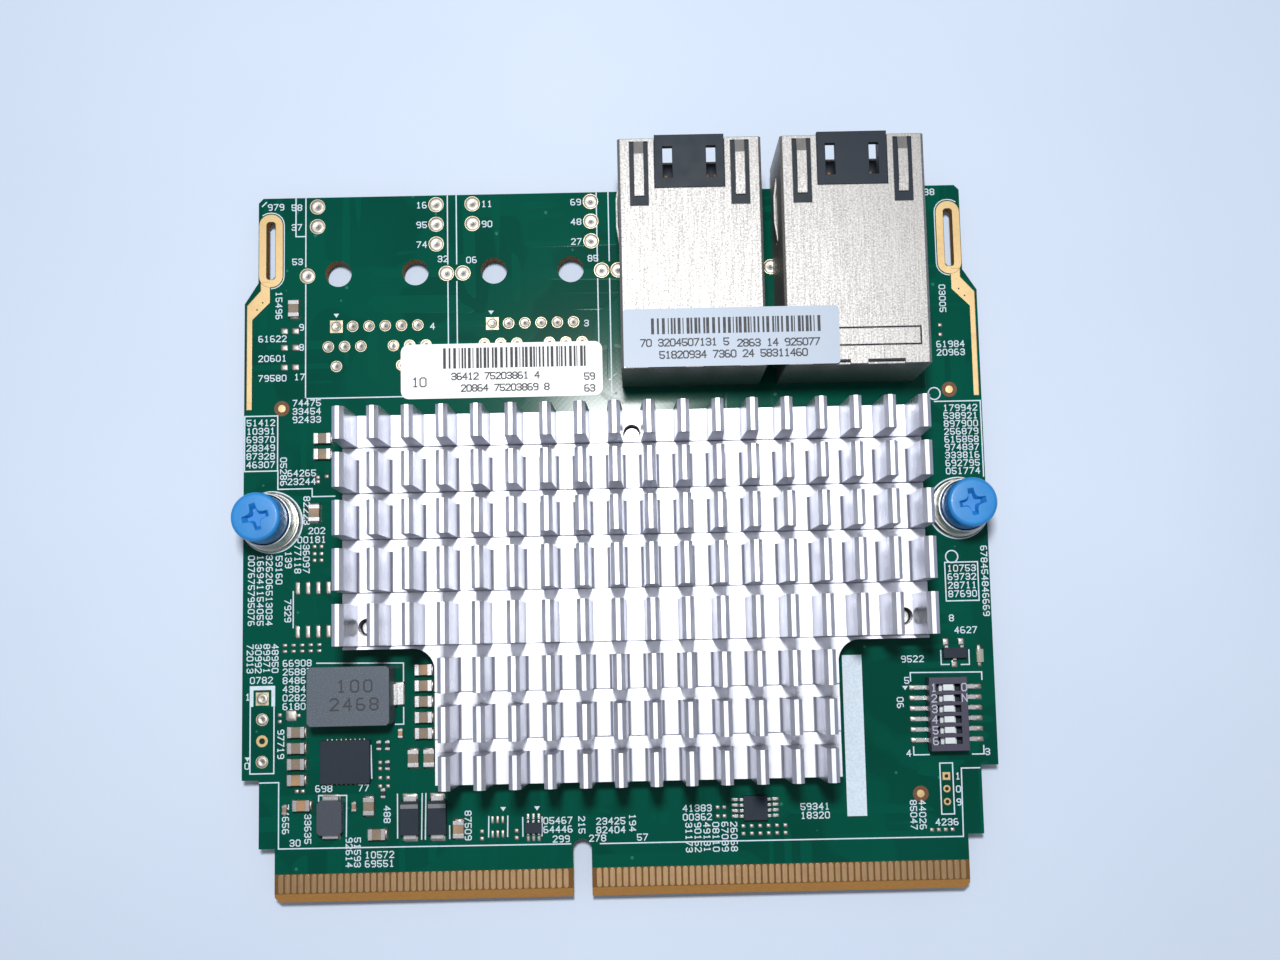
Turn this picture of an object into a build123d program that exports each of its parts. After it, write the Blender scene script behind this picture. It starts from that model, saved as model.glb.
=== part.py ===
from build123d import *
import os

os.makedirs("parts", exist_ok=True)

# A mezzanine network card: X runs across the card, Y from the card edge to the jacks, Z up.
# The origin is the middle of the card edge, on the underside of the board. Sizes are millimetres.

# Card edge contacts
contact_pitch = 0.8
contact_width = 0.62
contact_length = 2.3
contact_thickness = 0.05
contacts_left_of_key = 44
contacts_right_of_key = 56
key_gap_pitches = 5
edge_margin = 0.44
bevel_length = 1.05
bevel_depth = 0.38

# Board outline: a tongue with the contacts, a ledge, the full width, then the narrowed back
board_thickness = 1.57
board_depth = 87.1
tongue_length = 6.4
ledge_step = 1.95
ledge_end = 14.6
side_step = 2.1
shoulder_from_back = 10.9
shoulder_length = 2.65
shoulder_step = 1.7
tongue_corner = 0.6
back_corner = 0.6
key_width = 2.3
key_depth = 6.85

# Slots near the back corners
slot_inset = 3.25
slot_from_back = 6.75
slot_length = 7.4
slot_width = 1.1
slot_corner = 0.35

# Network jacks and their footprints
first_jack_x = 9.70
jack_spacing = 19.25
first_spare_x = -29.40
spare_spacing = 19.54
jack_width = 17.0
jack_height = 13.2
jack_length = 27.5
jack_overhang = 2.4
jack_sheet = 0.25
jack_clearance = 0.06
jack_bend = 0.3
post_spacing = 9.68
post_hole_radius = 1.65
post_from_front = 12.3
plug_width = 11.8
plug_floor = 3.9
plug_roof = 0.85
plug_depth = 16.0
latch_width = 6.5
latch_height = 1.75
insert_width = 8.36
insert_length = 6.05
insert_nose = 0.4
window_width = 1.15
window_length = 3.8
window_spacing = 5.15
window_from_front = 1.0
finger_slot_width = 2.2
finger_slot_length = 7.8
finger_spacing = 11.95
finger_slot_from_front = 0.35
finger_width = 1.15
finger_length = 6.6
finger_rise = 0.4
finger_ramp = 1.6
side_spring_length = 8.0
side_spring_width = 2.4
side_spring_bulge = 0.35
side_spring_height = 6.5
side_spring_ramp = 2.4
side_spring_from_front = 3.2
rear_notch_width = 4.35
rear_notch_depth = 0.5
rear_notch_spacing = 6.4
tongue_slit_width = 14.6
tongue_slit_depth = 2.06
tongue_slit_from_rear = 2.2
slit = 0.16
tab_width = 1.4
tab_below_board = 1.0
lamp_width = 3.0
lamp_height = 2.0
lamp_depth = 6.0
lamp_spacing = 11.6
lamp_bottom = 1.0
jack_contact_count = 8
jack_contact_pitch = 1.02
jack_contact_width = 0.4
jack_contact_thickness = 0.25
jack_contact_rise = 1.7
jack_contact_from_front = 1.5
jack_contact_foot = 2.0
jack_contact_from_rear = 1.0

# Heatsink: an extruded comb, cross-cut, with two corners milled away
heatsink_x = 2.24
heatsink_front_y = 13.9
heatsink_jack_gap = 3.6
heatsink_base = 2.4
fin_count = 18
fin_pitch = 4.03
fin_height = 8.2
fin_foot = 1.9
fin_tip = 1.4
stem_fin_count = 12
wing_coil_gap = 1.98
wing_corner_radius = 2.4
cross_cut_width = 1.55
cross_cut_depth = 0.12
cross_cut_middle_pitch = 6.4
cross_cut_pitch = 5.6
foot_size = 5.0

# What lies under the heatsink, and its screws
chip_from_back_screw = 19.2
chip_size = 25.0
chip_lid_size = 20.0
chip_substrate = 0.9
chip_lid = 0.8
pad_size = 22.0
pad_thickness = 0.3
screw_radius = 1.0
screw_clearance = 0.05
screw_head_across_flats = 4.0
screw_head_height = 1.4
screw_short_of_base_top = 0.5
heatsink_screw_valley = 8
heatsink_screw_from_wing_front = 2.65
heatsink_screw_from_back = 2.8

# Captive thumbscrews
thumbscrew_inset = 3.5
thumbscrew_y = 46.0
ferrule_flange_radius = 3.7
ferrule_flange_height = 0.9
ferrule_collar_wall = 0.25
ferrule_height = 4.1
knob_radius = 2.95
knob_clearance = 0.1
knob_height = 5.2
knob_engagement = 0.8
knob_edge = 0.4
knob_recess_length = 3.1
knob_recess_width = 0.75
knob_recess_depth = 1.1
knob_turn_left = -20.0
knob_turn_right = -12.0
thread_radius = 1.5
thread_length = 1.2
neck_radius = 1.15
neck_clearance = 0.1
spring_wire = 0.3
spring_clearance = 0.3
spring_turns = 3
spring_pieces_per_turn = 6

# Six-way slide switch
switch_count = 6
switch_pitch = 1.27
switch_inset = 6.2
switch_y = 20.9
switch_width = 4.6
switch_length = 8.8
switch_height = 2.5
switch_rim = 0.4
switch_wall = 0.35
switch_roof = 0.5
switch_base_thickness = 0.4
switch_base_clearance = 0.03
slider_length = 1.2
slider_width = 0.73
slider_clearance = 0.06
slider_carriage_length = 1.9
slider_carriage_width = 1.0
slider_carriage_height = 0.6
slider_below_top = 0.06
slider_travel = 0.8
lead_width = 0.5
lead_thickness = 0.2
lead_reach = 1.45
lead_exit_height = 0.9

# Power parts along the left side, placed from the left side and the card edge
coil_inset = 13.82
coil_y = 24.62
coil_width = 9.8
coil_depth = 7.0
coil_height = 5.0
coil_edge = 0.35
coil_strap_width = 2.5
coil_strap_thickness = 0.3
coil_strap_foot = 1.0
coil_strap_height = 1.6
regulator_inset = 12.68
regulator_y = 16.64
regulator_width = 6.0
regulator_depth = 5.2
regulator_height = 0.9
choke_inset = 10.95
choke_y = 10.1
choke_width = 3.0
choke_depth = 4.1
choke_height = 1.8
choke_end_width = 1.9
choke_end_length = 0.45
choke_end_height = 1.0
diode_inset = 20.45
diode_pitch = 3.33
diode_y = 9.8
diode_width = 2.2
diode_depth = 4.0
diode_height = 1.1
diode_lead_width = 1.5
diode_lead_length = 0.55
diode_lead_height = 0.5

# Chip capacitors and resistors
capacitor_length = 2.0
capacitor_width = 1.25
capacitor_height = 1.0
input_capacitor_count = 4
input_capacitor_inset = 6.75
input_capacitor_y = 17.45
output_capacitor_count = 5
output_capacitor_inset = 22.23
output_capacitor_y = 23.7
capacitor_row_pitch = 1.91
single_capacitors_along_x = ((7.4, 11.55), (16.5, 7.95), (9.9, 56.25), (9.9, 54.3))
corner_capacitor_inset = 6.3
corner_capacitor_from_back = 14.4
single_capacitors_along_y = ((20.95, 16.9), (22.85, 16.9), (15.55, 11.3), (26.35, 8.35), (8.9, 47.0))
small_capacitors_along_y = ((19.34, 19.9), (13.69, 11.25), (5.28, 11.05))
small_capacitor_length = 1.0
small_capacitor_width = 0.5
small_capacitor_height = 0.5
single_resistors = ((16.7, 18.5), (17.75, 18.5), (17.75, 16.1), (17.2, 12.75))
resistor_length = 1.0
resistor_width = 0.5
resistor_height = 0.35

# Small semiconductors
transistor_inset = 4.85
transistor_y = 28.2
transistor_width = 2.8
transistor_depth = 1.25
transistor_height = 1.0
small_array_x = -10.65
small_array_y = 8.3
small_array_width = 2.0
small_array_depth = 1.25
small_array_height = 0.9
memory_x = 16.25
memory_y = 10.1
memory_size = 2.9
memory_height = 0.9
lamp_inset = 1.75
lamp_y = 27.8
status_lamp_width = 0.8
status_lamp_length = 1.6
status_lamp_height = 0.6

# Paper labels
label_width = 25.2
label_depth = 6.9
label_thickness = 0.1
board_label_x = -13.85
board_label_from_back = 22.6
jack_label_from_first_jack = 4.4
jack_label_from_rear = 3.5

# Places that follow from the sizes above
contact_span = (contacts_left_of_key + contacts_right_of_key + key_gap_pitches - 2) * contact_pitch
first_contact_x = -contact_span / 2
left_group_x = first_contact_x + (contacts_left_of_key - 1) * contact_pitch / 2
right_group_x = -first_contact_x - (contacts_right_of_key - 1) * contact_pitch / 2
key_x = first_contact_x + (contacts_left_of_key - 1 + key_gap_pitches / 2) * contact_pitch
contact_y = bevel_length + contact_length / 2
tongue_width = contact_span + contact_width + 2 * edge_margin
ledge_width = tongue_width + 2 * ledge_step
board_width = ledge_width + 2 * side_step
back_width = board_width - 2 * shoulder_step
left_side = -board_width / 2
right_side = board_width / 2
shoulder_end = board_depth - shoulder_from_back
shoulder_start = shoulder_end - shoulder_length
slot_centre_y = board_depth - slot_from_back

jack_centres = (first_jack_x, first_jack_x + jack_spacing)
spare_jack_centres = (first_spare_x, first_spare_x + spare_spacing)
jack_front_y = board_depth + jack_overhang
jack_rear_y = jack_front_y - jack_length
post_y = jack_front_y - post_from_front
tab_reach = jack_width / 2 - jack_sheet / 2
housing_width = jack_width - 2 * (jack_sheet + jack_clearance)
housing_top = jack_height - jack_sheet - jack_clearance
plug_height = jack_height - plug_floor - latch_height - plug_roof
housing_front_y = jack_front_y - jack_sheet - jack_clearance
cavity_rear_y = jack_front_y - plug_depth
housing_rear_y = cavity_rear_y - 2 * jack_sheet

comb_width = (fin_count - 1) * fin_pitch + fin_foot
stem_width = (stem_fin_count - 1) * fin_pitch + fin_foot
heatsink_back_y = jack_rear_y - heatsink_jack_gap
heatsink_length = heatsink_back_y - heatsink_front_y
heatsink_y = (heatsink_front_y + heatsink_back_y) / 2
wing_front_y = coil_y + coil_depth / 2 + wing_coil_gap
base_bottom = board_thickness + chip_substrate + chip_lid + pad_thickness
base_top = base_bottom + heatsink_base
fin_top = base_top + fin_height
heatsink_screw_reach = heatsink_screw_valley * fin_pitch
heatsink_screw_side_y = wing_front_y + heatsink_screw_from_wing_front
heatsink_screw_back_y = heatsink_back_y - heatsink_screw_from_back
chip_y = heatsink_screw_back_y - chip_from_back_screw
heatsink_screws_at = [
    (heatsink_x, heatsink_screw_back_y),
    (heatsink_x - heatsink_screw_reach, heatsink_screw_side_y),
    (heatsink_x + heatsink_screw_reach, heatsink_screw_side_y),
]
outer_rows = heatsink_length / 2 - cross_cut_middle_pitch - cross_cut_pitch / 2
cross_cut_offsets = [0.0]
for step in range(int(outer_rows // cross_cut_pitch) + 1):
    reach = cross_cut_middle_pitch + step * cross_cut_pitch
    cross_cut_offsets += [reach, -reach]

switch_x = right_side - switch_inset
thumbscrews = {
    "left": (left_side + thumbscrew_inset, thumbscrew_y, knob_turn_left),
    "right": (right_side - thumbscrew_inset, thumbscrew_y, knob_turn_right),
}
ON_SEAT = (Align.CENTER, Align.CENTER, Align.MIN)
HANGING = (Align.CENTER, Align.CENTER, Align.MAX)


# Board, with every hole that another piece passes through or sits in
outline_right = [
    (tongue_width / 2, 0),
    (tongue_width / 2, tongue_length),
    (ledge_width / 2, tongue_length),
    (ledge_width / 2, ledge_end),
    (board_width / 2, ledge_end),
    (board_width / 2, shoulder_start),
    (back_width / 2, shoulder_end),
    (back_width / 2, board_depth),
]
outline_left = [(-x, y) for x, y in reversed(outline_right)]
post_holes = [(x + s * post_spacing / 2, post_y) for x in spare_jack_centres for s in (-1, 1)]
tab_holes = [(x + s * tab_reach, post_y) for x in jack_centres for s in (-1, 1)]
neck_holes = [(x, y) for x, y, turn in thumbscrews.values()]

with BuildSketch() as corner_slot:
    Rectangle(slot_width, slot_length)
    chamfer(corner_slot.vertices(), slot_corner)

with BuildPart() as board:
    with BuildSketch() as outline:
        with BuildLine():
            Polyline(*outline_right, *outline_left, close=True)
        make_face()
        chamfer(outline.vertices().group_by(Axis.Y)[0], tongue_corner)
        chamfer(outline.vertices().group_by(Axis.Y)[-1], back_corner)
        SlotCenterPoint((key_x, 0), (key_x, key_depth - key_width / 2), key_width, mode=Mode.SUBTRACT)
        with Locations(*post_holes):
            Circle(post_hole_radius, mode=Mode.SUBTRACT)
        with Locations(*neck_holes):
            Circle(neck_radius + neck_clearance, mode=Mode.SUBTRACT)
        with Locations(*heatsink_screws_at):
            Circle(screw_radius + screw_clearance, mode=Mode.SUBTRACT)
        with Locations(*tab_holes):
            Rectangle(jack_sheet + 2 * jack_clearance, tab_width + 2 * jack_clearance, mode=Mode.SUBTRACT)
        with Locations((left_side + slot_inset, slot_centre_y), (right_side - slot_inset, slot_centre_y)):
            add(corner_slot.sketch, mode=Mode.SUBTRACT)
    extrude(amount=board_thickness)
    with BuildSketch(Plane.YZ):
        with BuildLine():
            Polyline((0, 0), (bevel_length, 0), (0, bevel_depth), close=True)
        make_face()
        with BuildLine():
            top = board_thickness
            Polyline((0, top), (bevel_length, top), (0, top - bevel_depth), close=True)
        make_face()
    extrude(amount=tongue_width, both=True, mode=Mode.SUBTRACT)
board.part.label = "board"
export_step(board.part, "parts/board.step")

with BuildPart() as edge_contacts:
    with BuildSketch(Plane.XY.offset(board_thickness)):
        with Locations((left_group_x, contact_y)):
            with GridLocations(contact_pitch, contact_length, contacts_left_of_key, 1):
                Rectangle(contact_width, contact_length)
        with Locations((right_group_x, contact_y)):
            with GridLocations(contact_pitch, contact_length, contacts_right_of_key, 1):
                Rectangle(contact_width, contact_length)
    extrude(amount=contact_thickness)
edge_contacts.part.label = "edge_contacts"
export_step(edge_contacts.part, "parts/edge_contacts.step")


# Heatsink: the comb profile is extruded along Y, cross-cut, milled to a T and drilled
comb = [(-comb_width / 2, base_bottom), (comb_width / 2, base_bottom)]
for fin in range(fin_count):
    fin_x = ((fin_count - 1) / 2 - fin) * fin_pitch
    comb += [(fin_x + fin_foot / 2, base_top), (fin_x + fin_tip / 2, fin_top)]
    comb += [(fin_x - fin_tip / 2, fin_top), (fin_x - fin_foot / 2, base_top)]

with BuildPart() as heatsink:
    back_plane = Plane((heatsink_x, heatsink_back_y, 0), x_dir=(1, 0, 0), z_dir=(0, -1, 0))
    with BuildSketch(back_plane):
        with BuildLine():
            Polyline(*comb, close=True)
        make_face()
    extrude(amount=heatsink_length)
    with Locations(*[(heatsink_x, heatsink_y + y, base_top - cross_cut_depth) for y in cross_cut_offsets]):
        Box(2 * comb_width, cross_cut_width, 2 * fin_height, align=ON_SEAT, mode=Mode.SUBTRACT)
    with BuildSketch(Plane.XY.offset(base_bottom)) as milled_corners:
        with Locations((heatsink_x, wing_front_y - heatsink_length / 2)):
            with GridLocations(stem_width + comb_width, 1, 2, 1):
                Rectangle(comb_width, heatsink_length)
        fillet(milled_corners.vertices().group_by(Axis.Y)[-1], wing_corner_radius)
    extrude(amount=2 * fin_height, mode=Mode.SUBTRACT)
    with BuildSketch(Plane.XY.offset(board_thickness)):
        with Locations(*heatsink_screws_at):
            Rectangle(foot_size, foot_size)
    extrude(amount=base_bottom - board_thickness)
    with BuildSketch(Plane.XY):
        with Locations(*heatsink_screws_at):
            Circle(screw_radius + screw_clearance)
    extrude(amount=2 * fin_top, mode=Mode.SUBTRACT)
heatsink.part.label = "heatsink"
export_step(heatsink.part, "parts/heatsink.step")

with BuildPart() as controller_chip:
    with Locations((heatsink_x, chip_y, board_thickness)):
        Box(chip_size, chip_size, chip_substrate, align=ON_SEAT)
    with Locations((heatsink_x, chip_y, board_thickness + chip_substrate)):
        Box(chip_lid_size, chip_lid_size, chip_lid, align=ON_SEAT)
controller_chip.part.label = "controller_chip"
export_step(controller_chip.part, "parts/controller_chip.step")

with BuildPart() as thermal_pad:
    with Locations((heatsink_x, chip_y, base_bottom - pad_thickness)):
        Box(pad_size, pad_size, pad_thickness, align=ON_SEAT)
thermal_pad.part.label = "thermal_pad"
export_step(thermal_pad.part, "parts/thermal_pad.step")

with BuildPart() as heatsink_screws:
    with BuildSketch(Plane.XY):
        with Locations(*heatsink_screws_at):
            RegularPolygon(screw_head_across_flats / 2, 6, major_radius=False)
    extrude(amount=-screw_head_height)
    with BuildSketch(Plane.XY):
        with Locations(*heatsink_screws_at):
            Circle(screw_radius)
    extrude(amount=base_top - screw_short_of_base_top)
heatsink_screws.part.label = "heatsink_screws"
export_step(heatsink_screws.part, "parts/heatsink_screws.step")


def make_jack_shell(x):
    """The folded nickel shield: top, sides, rear and front, with its springs and ground tabs."""
    seat = board_thickness
    top = seat + jack_height
    middle_y = jack_front_y - jack_length / 2
    wall_x = jack_width / 2 - jack_sheet / 2
    slot_y = jack_front_y - finger_slot_from_front - finger_slot_length / 2
    finger_start = jack_front_y - finger_slot_from_front
    finger_end = finger_start - finger_length
    spring_y = jack_front_y - side_spring_from_front - side_spring_length / 2
    slit_y = jack_rear_y + tongue_slit_from_rear
    with BuildPart() as shell:
        with Locations((x, middle_y, seat)):
            Box(jack_width, jack_length, jack_height, align=ON_SEAT)
        chamfer(shell.edges().filter_by(Axis.Y).group_by(Axis.Z)[-1], jack_bend)
        with Locations((x, middle_y, seat)):
            inner = (jack_width - 2 * jack_sheet, jack_length - 2 * jack_sheet, jack_height - jack_sheet)
            Box(*inner, align=ON_SEAT, mode=Mode.SUBTRACT)
        # Openings: top insert, plug, lamps, spring fingers, side springs and rear notches
        with Locations((x, jack_front_y, top)):
            Box(insert_width, 2 * insert_length, 2 * jack_sheet, mode=Mode.SUBTRACT)
        with Locations((x, jack_front_y, seat + plug_floor)):
            Box(plug_width, 3 * jack_sheet, plug_height, align=ON_SEAT, mode=Mode.SUBTRACT)
            Box(insert_width, 3 * jack_sheet, jack_height, align=ON_SEAT, mode=Mode.SUBTRACT)
        with Locations((x, jack_front_y, seat + lamp_bottom - jack_clearance)):
            with GridLocations(lamp_spacing, 1, 2, 1):
                window_size = (lamp_width + 2 * jack_clearance, lamp_height + 2 * jack_clearance)
                Box(window_size[0], 3 * jack_sheet, window_size[1], align=ON_SEAT, mode=Mode.SUBTRACT)
        with BuildSketch(Plane.XY.offset(top - 2 * jack_sheet)):
            with Locations((x, slot_y)):
                with GridLocations(finger_spacing, 1, 2, 1):
                    Rectangle(finger_slot_width, finger_slot_length)
            with Locations((x, jack_rear_y)):
                with GridLocations(rear_notch_spacing, 1, 2, 1):
                    Rectangle(rear_notch_width, 2 * rear_notch_depth)
            with Locations((x, slit_y), (x, slit_y + tongue_slit_depth)):
                Rectangle(tongue_slit_width, slit)
            with Locations((x + tongue_slit_width / 2, slit_y + tongue_slit_depth / 2)):
                Rectangle(slit, tongue_slit_depth + slit)
        extrude(amount=4 * jack_sheet, mode=Mode.SUBTRACT)
        with Locations((x, spring_y, seat + side_spring_height)):
            Box(2 * jack_width, side_spring_length, side_spring_width, mode=Mode.SUBTRACT)
        # Spring fingers on the top, hinged at the front and bowed upwards
        for finger_x in (x - finger_spacing / 2, x + finger_spacing / 2):
            with BuildSketch(Plane((finger_x, 0, 0), x_dir=(0, 1, 0), z_dir=(1, 0, 0))):
                with BuildLine():
                    crest = top + finger_rise
                    bent = [(finger_start, top), (finger_start - finger_ramp, crest)]
                    bent += [(finger_end + finger_ramp, crest), (finger_end, top)]
                    Polyline(*bent, *[(y, z - jack_sheet) for y, z in reversed(bent)], close=True)
                make_face()
            extrude(amount=finger_width / 2, both=True)
        # Side springs, bowed outwards between their two ends
        for side in (-1, 1):
            with BuildSketch(Plane.XY.offset(seat + side_spring_height)):
                with BuildLine():
                    inside = x + side * (wall_x - jack_sheet / 2)
                    bulged = inside + side * side_spring_bulge
                    low = spring_y - side_spring_length / 2
                    high = spring_y + side_spring_length / 2
                    bent = [(inside, low), (bulged, low + side_spring_ramp)]
                    bent += [(bulged, high - side_spring_ramp), (inside, high)]
                    Polyline(*bent, *[(u + side * jack_sheet, v) for u, v in reversed(bent)], close=True)
                make_face()
            extrude(amount=side_spring_width / 4, both=True)
        # Ground tabs down through the board
        with Locations((x - tab_reach, post_y, seat), (x + tab_reach, post_y, seat)):
            Box(jack_sheet, tab_width, board_thickness + tab_below_board, align=HANGING)
    return shell


def make_jack_housing(x):
    """The black front block with the plug cavity, latch channel, and top insert."""
    seat = board_thickness
    depth = housing_front_y - housing_rear_y
    floor = seat + plug_floor
    nose_y = jack_front_y + insert_nose
    insert_depth = insert_length + insert_nose - jack_clearance
    window_y = jack_front_y - window_from_front - window_length / 2
    with BuildPart() as housing:
        with Locations((x, housing_rear_y + depth / 2, seat)):
            Box(housing_width, depth, housing_top, align=ON_SEAT)
        with Locations((x, nose_y - insert_depth / 2, seat + jack_height)):
            Box(insert_width - 2 * jack_clearance, insert_depth, jack_height - plug_floor, align=HANGING)
        with Locations((x, nose_y, floor)):
            Box(plug_width, 2 * (plug_depth + insert_nose), plug_height, align=ON_SEAT, mode=Mode.SUBTRACT)
        with Locations((x, nose_y, floor + plug_height)):
            Box(latch_width, plug_depth, latch_height, align=ON_SEAT, mode=Mode.SUBTRACT)
        with Locations((x, window_y, seat + jack_height)):
            with GridLocations(window_spacing, 1, 2, 1):
                window_depth = plug_roof + latch_height / 2
                Box(window_width, window_length, 2 * window_depth, mode=Mode.SUBTRACT)
        with Locations((x, housing_front_y, seat + lamp_bottom)):
            with GridLocations(lamp_spacing, 1, 2, 1):
                pocket = (lamp_width + 2 * jack_clearance, 2 * lamp_depth, lamp_height + 2 * jack_clearance)
                Box(*pocket, align=ON_SEAT, mode=Mode.SUBTRACT)
    return housing


def make_jack_contacts(x):
    """The row of spring wires that rise from the cavity floor towards the rear."""
    floor = board_thickness + plug_floor
    start = jack_front_y - jack_contact_from_front
    bend = start - jack_contact_foot
    end = cavity_rear_y + jack_contact_from_rear
    rise = floor + jack_contact_rise
    row = (jack_contact_count - 1) * jack_contact_pitch
    with BuildPart() as contacts:
        for number in range(jack_contact_count):
            wire_x = x - row / 2 + number * jack_contact_pitch
            with BuildSketch(Plane((wire_x, 0, 0), x_dir=(0, 1, 0), z_dir=(1, 0, 0))):
                with BuildLine():
                    lower = [(start, floor), (bend, floor), (end, rise)]
                    upper = [(end, rise + jack_contact_thickness), (bend, floor + jack_contact_thickness)]
                    Polyline(*lower, *upper, close=True)
                make_face()
            extrude(amount=jack_contact_width / 2, both=True)
    return contacts


def make_jack_magnetics(x):
    """The moulded transformer block that fills the rear of the shield."""
    front = housing_rear_y - jack_clearance
    rear = jack_rear_y + jack_sheet + jack_clearance
    with BuildPart() as magnetics:
        with Locations((x, (front + rear) / 2, board_thickness)):
            Box(housing_width, front - rear, housing_top, align=ON_SEAT)
    return magnetics


def make_jack_lamps(x):
    """The two small light lenses low on the jack's front."""
    with BuildPart() as lamps:
        with Locations((x, jack_front_y, board_thickness + lamp_bottom)):
            with GridLocations(lamp_spacing, 1, 2, 1):
                Box(lamp_width, lamp_depth, lamp_height, align=(Align.CENTER, Align.MAX, Align.MIN))
    return lamps


for number, jack_x in enumerate(jack_centres, start=1):
    jack_pieces = {
        "shell": make_jack_shell(jack_x),
        "housing": make_jack_housing(jack_x),
        "contacts": make_jack_contacts(jack_x),
        "magnetics": make_jack_magnetics(jack_x),
        "lamps": make_jack_lamps(jack_x),
    }
    for piece_name, piece in jack_pieces.items():
        piece.part.label = f"jack_{number}_{piece_name}"
        export_step(piece.part, f"parts/jack_{number}_{piece_name}.step")


# Captive thumbscrews: heights are measured up from the board's top face
collar_bore = knob_radius + knob_clearance
collar_radius = collar_bore + ferrule_collar_wall
knob_bottom = ferrule_height - knob_engagement
knob_top = knob_bottom + knob_height
coil_radius = collar_bore - spring_clearance - spring_wire / 2

with BuildPart() as ferrules:
    for screw_x, screw_y, screw_turn in thumbscrews.values():
        with BuildSketch(Plane((screw_x, screw_y, board_thickness), x_dir=(1, 0, 0), z_dir=(0, -1, 0))):
            with BuildLine():
                Polyline(
                    (collar_bore, 0),
                    (collar_bore, ferrule_height),
                    (collar_radius, ferrule_height),
                    (collar_radius, ferrule_flange_height),
                    (ferrule_flange_radius, ferrule_flange_height),
                    (ferrule_flange_radius, 0),
                    close=True,
                )
            make_face()
        revolve(axis=Axis((screw_x, screw_y, 0), (0, 0, 1)))
ferrules.part.label = "ferrules"
export_step(ferrules.part, "parts/ferrules.step")


def make_knob(x, y, turn):
    """The moulded knob: a round cap with a chamfered top edge and a cross recess."""
    with BuildPart() as knob:
        with Locations((x, y, board_thickness + knob_bottom)):
            Cylinder(knob_radius, knob_height, align=ON_SEAT)
        chamfer(knob.edges().filter_by(GeomType.CIRCLE).group_by(Axis.Z)[-1], knob_edge)
        with BuildSketch(Plane((x, y, board_thickness + knob_top))):
            Rectangle(knob_recess_length, knob_recess_width, rotation=turn)
            Rectangle(knob_recess_width, knob_recess_length, rotation=turn)
        extrude(amount=-knob_recess_depth, mode=Mode.SUBTRACT)
    return knob


def make_captive_screw(x, y):
    """The steel screw: a thin neck through the board and a thicker threaded end below it."""
    with BuildPart() as captive_screw:
        with Locations((x, y, 0)):
            Cylinder(neck_radius, board_thickness + knob_bottom, align=ON_SEAT)
            Cylinder(thread_radius, thread_length, align=HANGING)
    return captive_screw


def make_spring(x, y):
    """The coil spring between the board and the knob, wound in short straight pieces."""
    foot = board_thickness + spring_wire / 2
    height = knob_bottom - spring_wire
    pieces = spring_turns * spring_pieces_per_turn
    with BuildPart() as spring:
        with BuildLine() as coil:
            arms = PolarLocations(coil_radius, spring_pieces_per_turn).locations * spring_turns
            bends = [Vector(x, y, foot) + arm.position for arm in arms]
            Polyline(*[bend + Vector(0, 0, height * n / (pieces - 1)) for n, bend in enumerate(bends)])
        with BuildSketch(Plane(coil.line @ 0, z_dir=coil.line % 0)):
            Rectangle(spring_wire, spring_wire)
        sweep(path=coil.line, transition=Transition.RIGHT)
    return spring


for side, (screw_x, screw_y, screw_turn) in thumbscrews.items():
    screw_pieces = {
        "knob": make_knob(screw_x, screw_y, screw_turn),
        "screw": make_captive_screw(screw_x, screw_y),
        "spring": make_spring(screw_x, screw_y),
    }
    for piece_name, piece in screw_pieces.items():
        piece.part.label = f"{side}_{piece_name}"
        export_step(piece.part, f"parts/{side}_{piece_name}.step")


# Slide switch: a cover on the rim of a base, with six sliders trapped between them
rim_top = board_thickness + switch_rim
switch_top = board_thickness + switch_height
base_top_face = rim_top + switch_base_thickness
slider_row = [switch_y + ((switch_count - 1) / 2 - n) * switch_pitch for n in range(switch_count)]
slot_reach = slider_length + 2 * slider_travel + 2 * slider_clearance
cover_cavity_width = switch_width - 2 * switch_wall
cover_cavity_length = switch_length - 2 * switch_wall

with BuildPart() as switch_base:
    with Locations((switch_x, switch_y, board_thickness)):
        Box(switch_width, switch_length, switch_rim, align=ON_SEAT)
    with Locations((switch_x, switch_y, rim_top)):
        plug_width_inside = cover_cavity_width - 2 * switch_base_clearance
        plug_length_inside = cover_cavity_length - 2 * switch_base_clearance
        Box(plug_width_inside, plug_length_inside, switch_base_thickness, align=ON_SEAT)
switch_base.part.label = "switch_base"
export_step(switch_base.part, "parts/switch_base.step")

with BuildPart() as switch_cover:
    with Locations((switch_x, switch_y, rim_top)):
        Box(switch_width, switch_length, switch_top - rim_top, align=ON_SEAT)
        cavity_height = switch_top - rim_top - switch_roof
        Box(cover_cavity_width, cover_cavity_length, cavity_height, align=ON_SEAT, mode=Mode.SUBTRACT)
    with Locations(*[(switch_x, y, switch_top) for y in slider_row]):
        Box(slot_reach, slider_width + 2 * slider_clearance, 3 * switch_roof, mode=Mode.SUBTRACT)
switch_cover.part.label = "switch_cover"
export_step(switch_cover.part, "parts/switch_cover.step")

for number, slider_y in enumerate(slider_row, start=1):
    with BuildPart() as slider:
        with Locations((switch_x, slider_y, base_top_face)):
            Box(slider_carriage_length, slider_carriage_width, slider_carriage_height, align=ON_SEAT)
            nub_height = switch_top - slider_below_top - base_top_face
            Box(slider_length, slider_width, nub_height, align=ON_SEAT)
    slider.part.label = f"switch_slider_{number}"
    export_step(slider.part, f"parts/switch_slider_{number}.step")

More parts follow.
